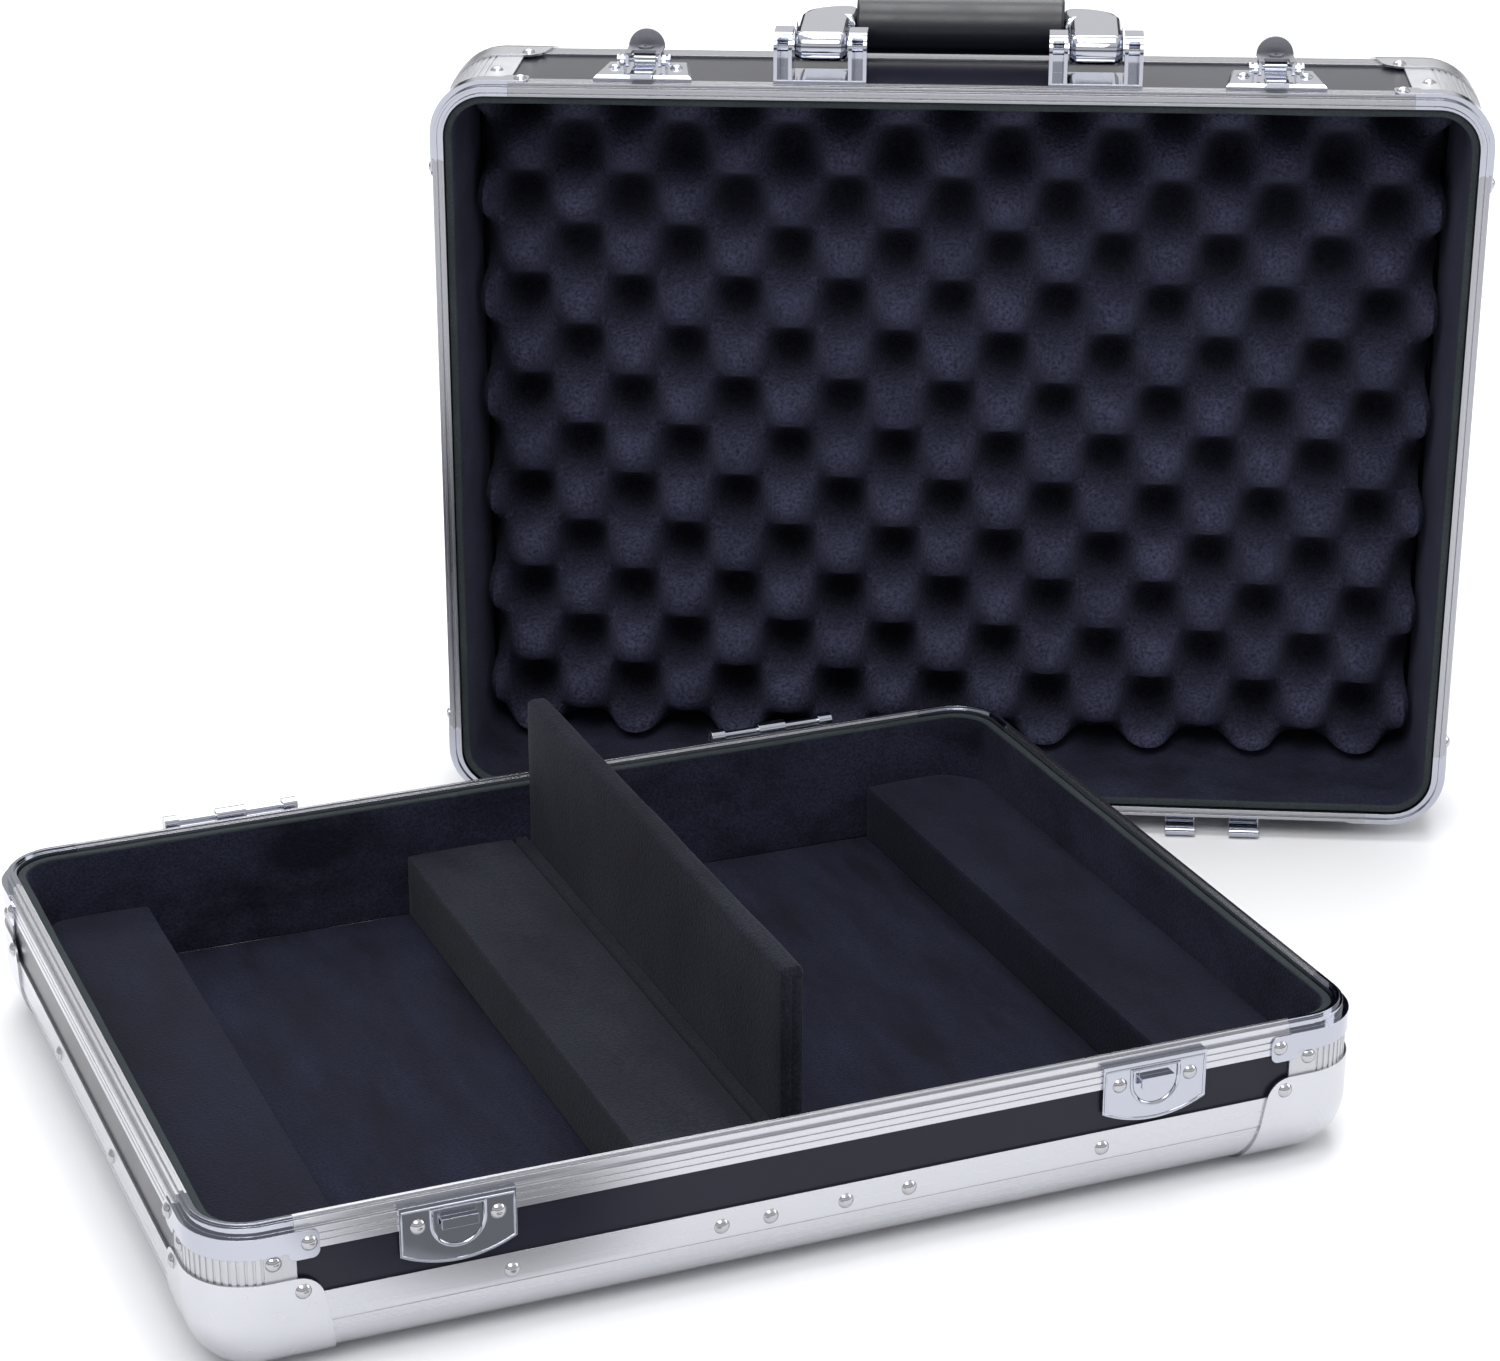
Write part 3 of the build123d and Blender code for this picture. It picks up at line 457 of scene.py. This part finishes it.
def stations(start, end, radius):
    # places along a bar: close together at its rounded ends
    steps = softLook["endSteps"]
    arc = [radius * (1 - math.cos(math.pi / 2 * k / steps)) for k in range(steps + 1)]
    straight = end - start - 2 * radius
    parts = max(2, int(straight / softLook["ringStep"]))
    inner = [start + radius + straight * k / parts for k in range(1, parts)]
    return [start + a for a in arc] + inner + [end - a for a in reversed(arc)]


def softBar(name, profileAt, y0, y1, radius, ripples, place, **facts):
    # a padded bar: an outline swept along Y, with rounded ends and a slightly uneven cover
    rings = []
    for y in stations(y0, y1, radius):
        loop = shrunk(profileAt(y), endInset(y, y0, y1, radius))
        ring = []
        for x, z in loop:
            push = ripple((x, y, z), ripples["amount"], ripples["size"], ripples["seed"])
            ring.append(place(x, y, z, push))
        rings.append(ring)
    return buildPiece(name, rings, False, fill=1.0, **facts)


def crowned(loop, x0, x1, z1):
    # lets the top fall a little from its middle to its sides
    middle, half = (x0 + x1) / 2, (x1 - x0) / 2
    result = []
    for point in loop:
        if point.y > z1 - softLook["crownDepth"]:
            fall = min(((point.x - middle) / half) ** 2, 1.0)
            result.append(Vector((point.x, point.y - softLook["crown"] * fall)))
        else:
            result.append(point)
    return result


liningLook = {"round": 1.0, "ripple": 0.35, "rippleSize": 34.0, "footTray": 5.75, "footLid": 4.9,
              "pathStep": 7.0, "upStep": 6.0, "cornerSteps": 8, "backFoot": 8.5, "footRound": 0.6,
              "footTurn": 0.7, "footBackRound": 0.3, "lift": 0.4, "liftSize": 22.0, "liftDepth": 1.0,
              "liftSeed": 5, "paintedLitEdgeDepth": 1.3}


def wallPath(step):
    # points round the case's outside: (x, y, outward direction)
    halfX, halfY = case["halfWidth"], case["halfDepth"]
    radius, turns = case["cornerRadius"], liningLook["cornerSteps"]
    path = []
    corners = ((halfX - radius, -halfY + radius, -90), (halfX - radius, halfY - radius, 0),
               (-halfX + radius, halfY - radius, 90), (-halfX + radius, -halfY + radius, 180))
    for index, (cx, cy, start) in enumerate(corners):
        for k in range(turns + 1):
            angle = math.radians(start + 90 * k / turns)
            out = Vector((math.cos(angle), math.sin(angle)))
            path.append((Vector((cx, cy)) + out * radius, out))
        nextX, nextY, _ = corners[(index + 1) % 4]
        first = path[-1][0]
        last = Vector((nextX, nextY)) + out * radius
        parts = int((last - first).length / step)
        path += [(first.lerp(last, k / parts), out) for k in range(1, parts)]
    return path


def lining(shell, rim, foot, place, seed):
    # velour wall lining, one soft band round the inside with a rounded top edge
    look = liningLook
    face, back = case["liningFace"], case["liningOut"]
    top = rim - case["liningDrop"]
    corners = [(back, look["backFoot"], 0), (back, top, look["round"]), (face, top, look["round"]),
               (face, foot, look["footRound"]), (face - look["footTurn"], foot, look["footBackRound"])]
    loop = divided(roundedLoop(corners), look["upStep"])
    rings = []
    for spot, out in wallPath(look["pathStep"]):
        ring = []
        for inset, z in loop:
            base = spot - out * inset
            share = min(max((inset - back) / (face - back), 0.0), 1.0)
            push = ripple((base.x, base.y, z), look["ripple"], look["rippleSize"], seed) * share
            edge = base - out * push
            if z > top - look["liftDepth"]:
                z += ripple((base.x, base.y, 0), look["lift"], look["liftSize"], seed + look["liftSeed"])
            ring.append(place(edge.x, edge.y, z))
        rings.append(ring)
    piece = buildPiece(f"{shell}WallLining", rings, True, body=shell, replaced=[f"{shell}_wall_lining"],
                       slot="velour", material=clothFor["velourLining"], fill=1.0)
    # the faces along the top edge get the lighter material: a painted highlight
    piece.data.materials.append(clothFor["paintedLitLiningEdge"])
    for polygon in piece.data.polygons:
        heights = [loop[index % len(loop)].y for index in polygon.vertices]
        if min(heights) > top - look["paintedLitEdgeDepth"]:
            polygon.material_index = 1


lining("tray", case["trayRim"], liningLook["footTray"], inTray, 1.0)
lining("lid", case["lidRim"], liningLook["footLid"], inLid, 2.0)
print("linings")


def roundCorner(x, y, halfX, halfY, radius):
    # pulls a point of a rectangle inside its rounded corner
    dx, dy = abs(x) - (halfX - radius), abs(y) - (halfY - radius)
    if dx <= 0 or dy <= 0:
        return x, y
    share = max(dx, dy) / math.hypot(dx, dy)
    return (math.copysign(halfX - radius + dx * share, x), math.copysign(halfY - radius + dy * share, y))


def roundedGrid(halfX, halfY, radius, columns, rows):
    # flat points of a sheet with round corners, its faces, and the points round its edge
    flats = []
    for j in range(rows + 1):
        for i in range(columns + 1):
            x = -halfX + 2 * halfX * i / columns
            y = -halfY + 2 * halfY * j / rows
            flats.append(roundCorner(x, y, halfX, halfY, radius))
    row = columns + 1
    starts = [j * row + i for j in range(rows) for i in range(columns)]
    faces = [(a, a + 1, a + row + 1, a + row) for a in starts]
    edge = list(range(columns)) + [columns + j * row for j in range(rows)]
    edge += [rows * row + columns - i for i in range(columns)] + [(rows - j) * row for j in range(rows)]
    return flats, faces, edge


floorLook = {"halfX": 220.2, "halfY": 160.2, "round": 14.0, "columns": 110, "rows": 80,
             "wave": 0.35, "waveSize": 40.0, "waveTop": 0.1, "seed": 3.0}


def floorCloth(look):
    # velour on the tray's floor: flat, with faint waves where it is glued
    flats, faces, edge = roundedGrid(look["halfX"], look["halfY"], look["round"],
                                     look["columns"], look["rows"])
    points = [inTray(x, y, case["floorUnder"]) for x, y in flats]
    for x, y in flats:
        wave = ripple((x, y, 0), look["wave"], look["waveSize"], look["seed"])
        points.append(inTray(x, y, case["floorTop"] + min(wave, look["waveTop"])))
    layer = len(flats)
    sheet = []
    for a, b, c, d in faces:
        sheet.append((layer + a, layer + b, layer + c, layer + d))
        sheet.append((a, d, c, b))
    for a, b in zip(edge, edge[1:] + edge[:1]):
        sheet.append((a, b, layer + b, layer + a))
    return finishPiece("trayFloorCloth", newMesh("trayFloorCloth", points, sheet), body="tray",
                       replaced=["tray_floor_lining"], slot="floor_velour",
                       material=clothFor["velourFloor"], fill=1.0)


floorCloth(floorLook)

# cutX and cutY: how the strips' outer corners are cut off
stripLook = {"outer": 220.4, "width": 53.0, "reach": 160.4, "cutX": 15.5, "cutY": 13.5,
             "foot": 0.1, "height": 25.8, "footRound": 0.8, "acrossStep": 9.0, "coverDepth": 4.0,
             "ripple": 0.5, "rippleSize": 26.0, "seed": 10.0}


def supportStrip(side, name):
    # padded strip along one end of the tray
    look = stripLook
    x0, x1 = look["outer"] - look["width"], look["outer"]
    z0, z1 = case["floorTop"] + look["foot"], case["floorTop"] + look["height"]
    foot, edge = look["footRound"], softLook["edge"]
    corners = [(x0, z0, foot), (x1, z0, foot), (x1, z1, edge), (x0, z1, edge)]
    whole = crowned(divided(roundedLoop(corners), look["acrossStep"]), x0, x1, z1)

    def profileAt(y):
        cut = look["cutX"] * max(1 - (look["reach"] - abs(y)) / look["cutY"], 0.0)
        share = (look["width"] - cut) / look["width"]
        return [Vector((x0 + (point.x - x0) * share, point.y)) for point in whole]

    def place(x, y, z, push):
        rise = min(push, softLook["rise"]) if z > z1 - look["coverDepth"] else 0.0
        return inTray(side * x, y, z + rise)

    ripples = {"amount": look["ripple"], "size": look["rippleSize"], "seed": look["seed"] + side}
    softBar(f"supportStrip_{name}", profileAt, -look["reach"], look["reach"], softLook["end"], ripples, place,
            body="tray", replaced=[f"support_strip_{name}"], slot="foam_padding",
            material=clothFor["velourStripCover"])


supportStrip(-1, "left")
supportStrip(1, "right")

blockLook = {"left": -51.8, "right": 3.5, "foot": 0.1, "height": 28.3, "reach": 160.4, "end": 0.9,
             "slitLeft": -3.4, "slitRight": -1.8, "slitDepth": 16.0, "slitRound": 0.1, "slitEdge": 1.0,
             "footRound": 0.8, "acrossStep": 8.0, "coverDepth": 3.0,
             "ripple": 0.5, "rippleSize": 30.0, "seed": 20.0}


def middleBlock(look):
    # padded block that the divider stands against, with a narrow slit along its top
    x0, x1 = look["left"], look["right"]
    z0, z1 = case["floorTop"] + look["foot"], case["floorTop"] + look["height"]
    slitFloor = z1 - look["slitDepth"]
    foot, lip, inner = look["footRound"], look["slitEdge"], look["slitRound"]
    corners = [(x0, z0, foot), (x1, z0, foot), (x1, z1, lip), (look["slitRight"], z1, lip),
               (look["slitRight"], slitFloor, inner), (look["slitLeft"], slitFloor, inner),
               (look["slitLeft"], z1, lip), (x0, z1, softLook["edge"])]
    loop = divided(roundedLoop(corners), look["acrossStep"])
    outline = []
    for point in loop:
        left = point.x < look["slitLeft"]
        outline += crowned([point], x0, look["slitLeft"], z1) if left else [point]

    def place(x, y, z, push):
        rise = min(push, softLook["rise"]) if z > z1 - look["coverDepth"] else 0.0
        return inTray(x, y, z + rise)

    ripples = {"amount": look["ripple"], "size": look["rippleSize"], "seed": look["seed"]}
    softBar("middleBlock", lambda y: outline, -look["reach"], look["reach"], look["end"], ripples, place,
            body="tray", replaced=["middle_block"], slot="foam_padding",
            material=clothFor["velourBlockCover"])


middleBlock(blockLook)

dividerLook = {"left": 4.1, "right": 12.9, "length": 284.0, "rearGap": 3.2, "foot": 0.4, "top": 102.0,
               "footRound": 0.6, "topRound": 2.8, "end": 1.4, "upStep": 7.0,
               "ripple": 0.7, "rippleTop": 0.1, "rippleSize": 34.0, "seed": 31.0}


def dividerBoard(look):
    # covered divider: a thin padded board with a round top edge
    x0, x1 = look["left"], look["right"]
    y1 = case["halfDepth"] - case["liningFace"] - look["rearGap"]
    y0 = y1 - look["length"]
    z0, z1 = case["floorTop"] + look["foot"], look["top"] - case["panelSeat"]
    middle = (x0 + x1) / 2
    corners = [(x0, z0, look["footRound"]), (x1, z0, look["footRound"]),
               (x1, z1, look["topRound"]), (x0, z1, look["topRound"])]
    loop = divided(roundedLoop(corners), look["upStep"])

    def place(x, y, z, push):
        return inTray(x + math.copysign(min(push, look["rippleTop"]), x - middle), y, z)

    ripples = {"amount": look["ripple"], "size": look["rippleSize"], "seed": look["seed"]}
    softBar("dividerBoard", lambda y: loop, y0, y1, look["end"], ripples, place, body="divider",
            replaced=["divider_board"], slot="divider_cover", material=clothFor["velourDividerCover"])
    dividerFold("left", x0 + foldLook["side"], x0 + foldLook["leftEnd"], y0, z0, z1)
    dividerFold("right", x0 + foldLook["rightStart"], x1 - foldLook["side"], y0, z0, z1)


# the cover's two folded edges, which meet down the divider's front end
foldLook = {"side": 0.9, "leftEnd": 4.0, "rightStart": 4.6, "parts": 30, "around": 8,
            "foot": 1.0, "shorter": 4.5, "back": 0.1, "thick": 0.75,
            "sway": 0.175, "swaySize": 9.0, "seed": 50.0}


def dividerFold(name, left, right, y0, z0, z1):
    look = foldLook
    half = (right - left) / 2
    rings = []
    for k in range(look["parts"] + 1):
        z = z0 + look["foot"] + (z1 - z0 - look["shorter"]) * k / look["parts"]
        sway = ripple((left, 0, z), look["sway"], look["swaySize"], look["seed"])
        centre = (left + right) / 2 + sway
        ring = []
        for step in range(look["around"]):
            angle = math.tau * step / look["around"]
            y = y0 + look["back"] + look["thick"] * math.sin(angle)
            ring.append(inTray(centre + half * math.cos(angle), y, z))
        rings.append(ring)
    buildPiece(f"dividerFold_{name}", rings, False, body="divider", slot="divider_cover",
               material=clothFor["velourDividerCover"], fill=1.0)


dividerBoard(dividerLook)
print("strips, block and divider")

# base is the thickness under the hollows, peak the height of the bumps over it
foamLook = {"halfX": 216.5, "halfY": 156.5, "round": 13.0, "pitchX": 49.0, "pitchY": 48.0,
            "startX": -1.3, "startY": -15.8, "base": 10.0, "peak": 33.0, "steep": 1.4, "under": 0.1,
            "edgeRound": 6.0, "edgeDrop": 9.0, "edgeShare": 0.6, "wave": 2.2, "step": 2.0,
            "uneven": 0.7, "unevenTop": 0.1, "unevenSize": 12.0, "seed": 40.0, "fill": 0.9}


def eggFoam(look):
    # egg-crate foam: staggered round peaks, cut off straight close to the lining
    base = case["floorUnder"] + look["under"]
    columns = int(2 * look["halfX"] / look["step"])
    rows = int(2 * look["halfY"] / look["step"])
    flats, faces, edge = roundedGrid(look["halfX"], look["halfY"], look["round"], columns, rows)
    points = [foamPoint(x, y, base) for x, y in flats]
    start = len(points)
    points += [inLid(*flats[a], base) for a in edge]
    for k, a in enumerate(edge):
        m = (k + 1) % len(edge)
        faces.append((a, start + k, start + m, edge[m]))
    faces.append(tuple(start + k for k in range(len(edge))))
    mesh = newMesh("eggCrateFoam", points, faces)
    # how high each point lies between hollow and peak, for the painted shade in the foam's hollows
    height = mesh.attributes.new("height", "FLOAT", "POINT")
    hollow = case["lidRim"] - base - look["base"]
    for index, point in enumerate(points):
        over = hollow - (point - lidCorner).dot(intoLid) / millimetre
        height.data[index].value = min(max(over / look["peak"], 0.0), 1.0)
    return finishPiece("eggCrateFoam", mesh, body="lid", replaced=["egg_foam"], slot="egg_foam",
                       material=clothFor["openCellFoam"], fill=look["fill"])


def foamPoint(x, y, base):
    # the foam's surface at x, y, rounded and waved near its cut edge
    look = foamLook
    wave = math.cos(math.tau * (x - look["startX"]) / look["pitchX"])
    wave *= math.cos(math.tau * (y - look["startY"]) / look["pitchY"])
    share = 0.5 + 0.5 * math.tanh(look["steep"] * wave) / math.tanh(look["steep"])
    height = look["base"] + look["peak"] * share
    height += min(ripple((x, y, 0), look["uneven"], look["unevenSize"], look["seed"]), look["unevenTop"])
    fromSide, fromEnd = look["halfX"] - abs(x), look["halfY"] - abs(y)
    near = min(fromSide, fromEnd)
    if near < look["edgeRound"]:
        inward = 1 - near / look["edgeRound"]
        drop = 1 - math.sqrt(max(1 - inward ** 2, 0.0))
        height -= drop * min(look["edgeDrop"], height * look["edgeShare"])
        shift = look["wave"] * wave * inward
        if fromSide <= fromEnd:
            x += math.copysign(shift, x)
        else:
            y += math.copysign(shift, y)
    return inLid(x, y, base + height)


eggFoam(foamLook)
print("egg-crate foam")

# the catch plate's outline, and dish: (share of the slot's outline, depth) from rim to middle
catchLook = {"across": 137.0, "face": -171.02, "half": 21.6, "top": 57.3, "shoulder": 39.0, "foot": 33.5,
             "inset": 0.9, "bead": 0.45, "beadSteps": 8, "archParts": 16, "sideParts": 6,
             "slotHalf": 10.2, "slotCentre": 49.75, "slotTop": 55.6, "slotMiddle": 49.0,
             "slotParts": 20, "slotSideParts": 4,
             "dish": ((1.02, 0.1), (1.03, -0.35), (0.98, -0.6), (0.92, -0.35), (0.88, 0.35),
                      (0.8, 0.55), (0.55, 0.4), (0.25, 0.3), (0.02, 0.28))}


def catchOutline(look):
    # a line just inside the plate's edge: from the top left round the arched foot
    half, top = look["half"] - look["inset"], look["top"] - look["inset"]
    sag = look["shoulder"] - look["foot"]
    bend = (look["half"] ** 2 + sag ** 2) / (2 * sag)
    arc = []
    for k in range(look["archParts"] + 1):
        x = -half + 2 * half * k / look["archParts"]
        arc.append(Vector((x, look["foot"] + bend - math.sqrt((bend - look["inset"]) ** 2 - x ** 2))))
    parts = look["sideParts"]
    left = [Vector((-half, top - (top - arc[0].y) * k / parts)) for k in range(parts)]
    right = [Vector((half, arc[-1].y + (top - arc[-1].y) * k / parts)) for k in range(1, parts + 1)]
    return left + arc + right


def slotOutline(look, share):
    # the U-shaped pocket's outline, scaled about its middle
    half, parts = look["slotHalf"], look["slotSideParts"]
    straight = look["slotTop"] - look["slotCentre"]
    loop = [Vector((-half, look["slotTop"] - straight * k / parts)) for k in range(parts)]
    for k in range(look["slotParts"] + 1):
        angle = math.pi * k / look["slotParts"]
        loop.append(Vector((-half * math.cos(angle), look["slotCentre"] - half * math.sin(angle))))
    loop += [Vector((half, look["slotCentre"] + straight * k / parts)) for k in range(1, parts + 1)]
    middle = Vector((0, look["slotMiddle"]))
    return [middle + (point - middle) * share for point in loop]


def catchTrim(side, name):
    # pressed relief of one catch plate: a bead round its edge and the dished pocket in its slot
    look = catchLook
    across, face = side * look["across"], look["face"]
    outline = catchOutline(look)
    bead = []
    for index, point in enumerate(outline):
        along = (outline[(index + 1) % len(outline)] - outline[index - 1]).normalized()
        ring = []
        for step in range(look["beadSteps"]):
            angle = math.tau * step / look["beadSteps"]
            out = point + Vector((along.y, -along.x)) * (look["bead"] * math.cos(angle))
            ring.append(inTray(across + out.x, face - look["bead"] * math.sin(angle), out.y))
        bead.append(ring)
    pocket = []
    for share, depth in look["dish"]:
        pocket.append([inTray(across + x, face + depth, z) for x, z in slotOutline(look, share)])
    facts = {"body": "tray", "slot": "chrome_plate", "material": metalFor["chromePlate"]}
    buildPiece(f"catchBead_{name}", bead, True, **facts)
    buildPiece(f"catchPocket_{name}", pocket, False, **facts)


catchTrim(-1, "left")
catchTrim(1, "right")

armLook = {"weld": 0.02, "round": 3.6, "segments": 4, "fromAngle": 50}


def roundArm(name):
    # the handle's arms are castings with round edges
    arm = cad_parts[name]
    weld = arm.modifiers.new("weld", "WELD")
    weld.merge_threshold = armLook["weld"] * millimetre
    soft = arm.modifiers.new("roundEdges", "BEVEL")
    soft.width = armLook["round"] * millimetre
    soft.segments = armLook["segments"]
    soft.limit_method = "ANGLE"
    soft.angle_limit = math.radians(armLook["fromAngle"])
    soft.use_clamp_overlap = False


roundArm("handle_arm_left")
roundArm("handle_arm_right")
print("pressed relief on the catches, rounded handle")

# matt paper: an even white with no reflection. Sizes are in metres, cloud in mm.
# patch is a painted reflection of the camera: a dark place painted on the floor, seen only by polished metal
floorSheet = {"half": 5.0, "drop": 0.0004, "dark": "#F6F6F8", "light": "#FAFAFB", "cloud": 333.3,
              "roughness": 0.7, "patch": (-0.1, -0.275), "paintedReflectionSize": (0.0769, 0.0833),
              "paintedReflectionSoft": 0.45, "paintedReflectionDepth": 0.85, "paintedReflectionColour": "#17171C"}


def paleFloor(look):
    half, drop = look["half"], -look["drop"]
    corners = [(-half, -half, drop), (half, -half, drop), (half, half, drop), (-half, half, drop)]
    mesh = newMesh("paleFloor", corners, [(0, 1, 2, 3)])
    floor = bpy.data.objects.new("paleFloor", mesh)
    bpy.context.scene.collection.objects.link(floor)
    material, tree, shader, coords = newMaterial("mattPaper")
    clouds = addNode(tree, "TexNoise", [("Vector", coords)], Scale=perMetre(look["cloud"])).outputs[0]
    tone = addNode(tree, "ValToRGB", [(0, clouds)],
                   overNoise(fromHex(look["dark"]), fromHex(look["light"]))).outputs[0]
    # painted reflection: a soft dark spot in the floor's colour that only glossy rays see
    scale = [1 / size for size in look["paintedReflectionSize"]]
    shift = [-place * factor for place, factor in zip(look["patch"], scale)]
    patch = addNode(tree, "Mapping", [(0, coords)], Location=(*shift, 0), Scale=(*scale, 1)).outputs[0]
    paintedReflectionNearness = addNode(tree, "TexGradient", [(0, patch)], gradient_type="SPHERICAL").outputs[1]
    depth = addNode(tree, "ValToRGB", [(0, paintedReflectionNearness)],
                    [(0.0, 0.0), (look["paintedReflectionSoft"], look["paintedReflectionDepth"])]).outputs[0]
    glossy = addNode(tree, "LightPath").outputs["Is Glossy Ray"]
    share = addNode(tree, "Math", [(0, depth), (1, glossy)], operation="MULTIPLY").outputs[0]
    withPaintedReflection = addNode(tree, "Mix", [(0, share), (6, tone)], data_type="RGBA")
    withPaintedReflection.inputs[7].default_value = fromHex(look["paintedReflectionColour"])
    tree.links.new(withPaintedReflection.outputs[2], shader.inputs["Base Color"])
    shader.inputs["Roughness"].default_value = look["roughness"]
    mesh.materials.append(material)


paleFloor(floorSheet)

# places and sizes in metres, power in watts; fill is even light from all round.
# mirror: what polished metal sees from straight down (0) over the horizon (0.5) to straight up (1)
studio = {
    "fill": 0.50,
    "fillColour": (0.97, 0.975, 1.0, 1.0),
    "mirror": [(0.0, 0.7), (0.47, 0.5), (0.505, 0.04), (0.53, 0.08), (0.57, 0.8), (0.66, 0.95),
               (0.74, 0.35), (0.82, 0.9), (1.0, 0.95)],
    "lights": {
        "key": {"place": (-1.0, -1.5, 2.3), "aim": (0.1, 0.1, 0.05), "size": (1.6, 1.2), "power": 34},
        "top": {"place": (0.3, 0.1, 2.6), "aim": (0.15, 0.15, 0.0), "size": (1.6, 1.2), "power": 34},
        "side": {"place": (2.2, -0.7, 1.1), "aim": (0.1, 0.1, 0.1), "size": (1.0, 1.4), "power": 10},
        "back": {"place": (0.9, 2.6, 2.6), "aim": (0.9, 2.8, 0.0), "size": (3.0, 2.4), "power": 70},
    },
}


def softbox(name, look):
    light = bpy.data.lights.new(name, "AREA")
    light.shape = "RECTANGLE"
    light.size, light.size_y = look["size"]
    light.energy = look["power"]
    lamp = bpy.data.objects.new(name, light)
    lamp.location = look["place"]
    aim = Vector(look["aim"]) - Vector(look["place"])
    lamp.rotation_euler = aim.to_track_quat("-Z", "Y").to_euler()
    bpy.context.scene.collection.objects.link(lamp)


for name, look in studio["lights"].items():
    softbox(name + "Light", look)


def studioWorld(look):
    # white behind the object; polished metal sees a dark band at the horizon and light above
    world = bpy.data.worlds.new("studio")
    world.use_nodes = True
    bpy.context.scene.world = world
    tree = world.node_tree
    tree.nodes.clear()
    way = addNode(tree, "TexCoord").outputs["Generated"]
    height = addNode(tree, "SeparateXYZ", [(0, way)]).outputs["Z"]
    lifted = addNode(tree, "MapRange", [("Value", height)], From_Min=-1.0, From_Max=1.0).outputs[0]
    seen = addNode(tree, "ValToRGB", [(0, lifted)], look["mirror"]).outputs[0]
    path = addNode(tree, "LightPath")
    fill = addNode(tree, "Background", Color=look["fillColour"], Strength=look["fill"])
    white = addNode(tree, "Background", Color=(1.0, 1.0, 1.0, 1.0), Strength=1.0)
    mirror = addNode(tree, "Background", [("Color", seen)], Strength=1.0)
    glossy = addNode(tree, "MixShader", [(0, path.outputs["Is Glossy Ray"]), (1, fill.outputs[0]),
                                         (2, mirror.outputs[0])])
    shown = addNode(tree, "MixShader", [(0, path.outputs["Is Camera Ray"]), (1, glossy.outputs[0]),
                                        (2, white.outputs[0])])
    output = addNode(tree, "OutputWorld")
    tree.links.new(shown.outputs[0], output.inputs[0])


studioWorld(studio)

# the photograph's viewpoint, fitted to the case's rims, corners and rivets: metres and degrees
viewpoint = {"place": (-0.46749, -1.233466, 0.699605), "azimuth": -21.239, "elevation": 22.419,
             "roll": -0.41, "lens": 87.58, "sensor": 36.0, "shift": (0.04993, 0.02282),
             "clip": (0.05, 50.0)}


def addCamera(look):
    a, e, r = (math.radians(look[key]) for key in ("azimuth", "elevation", "roll"))
    forward = Vector((-math.sin(a) * math.cos(e), math.cos(a) * math.cos(e), -math.sin(e)))
    right = Vector((math.cos(a), math.sin(a), 0))
    up = right.cross(forward)
    turned = right * math.cos(r) + up * math.sin(r)
    raised = up * math.cos(r) - right * math.sin(r)
    data = bpy.data.cameras.new("photoCamera")
    data.sensor_width = look["sensor"]
    data.lens = look["lens"]
    data.shift_x, data.shift_y = look["shift"]
    data.clip_start, data.clip_end = look["clip"]
    camera = bpy.data.objects.new("photoCamera", data)
    axes = Matrix((turned, raised, -forward)).transposed()
    camera.matrix_world = Matrix.LocRotScale(Vector(look["place"]), axes, None)
    bpy.context.scene.collection.objects.link(camera)
    bpy.context.scene.camera = camera


addCamera(viewpoint)
bpy.context.scene.view_settings.view_transform = "Standard"
print("floor, light and camera")
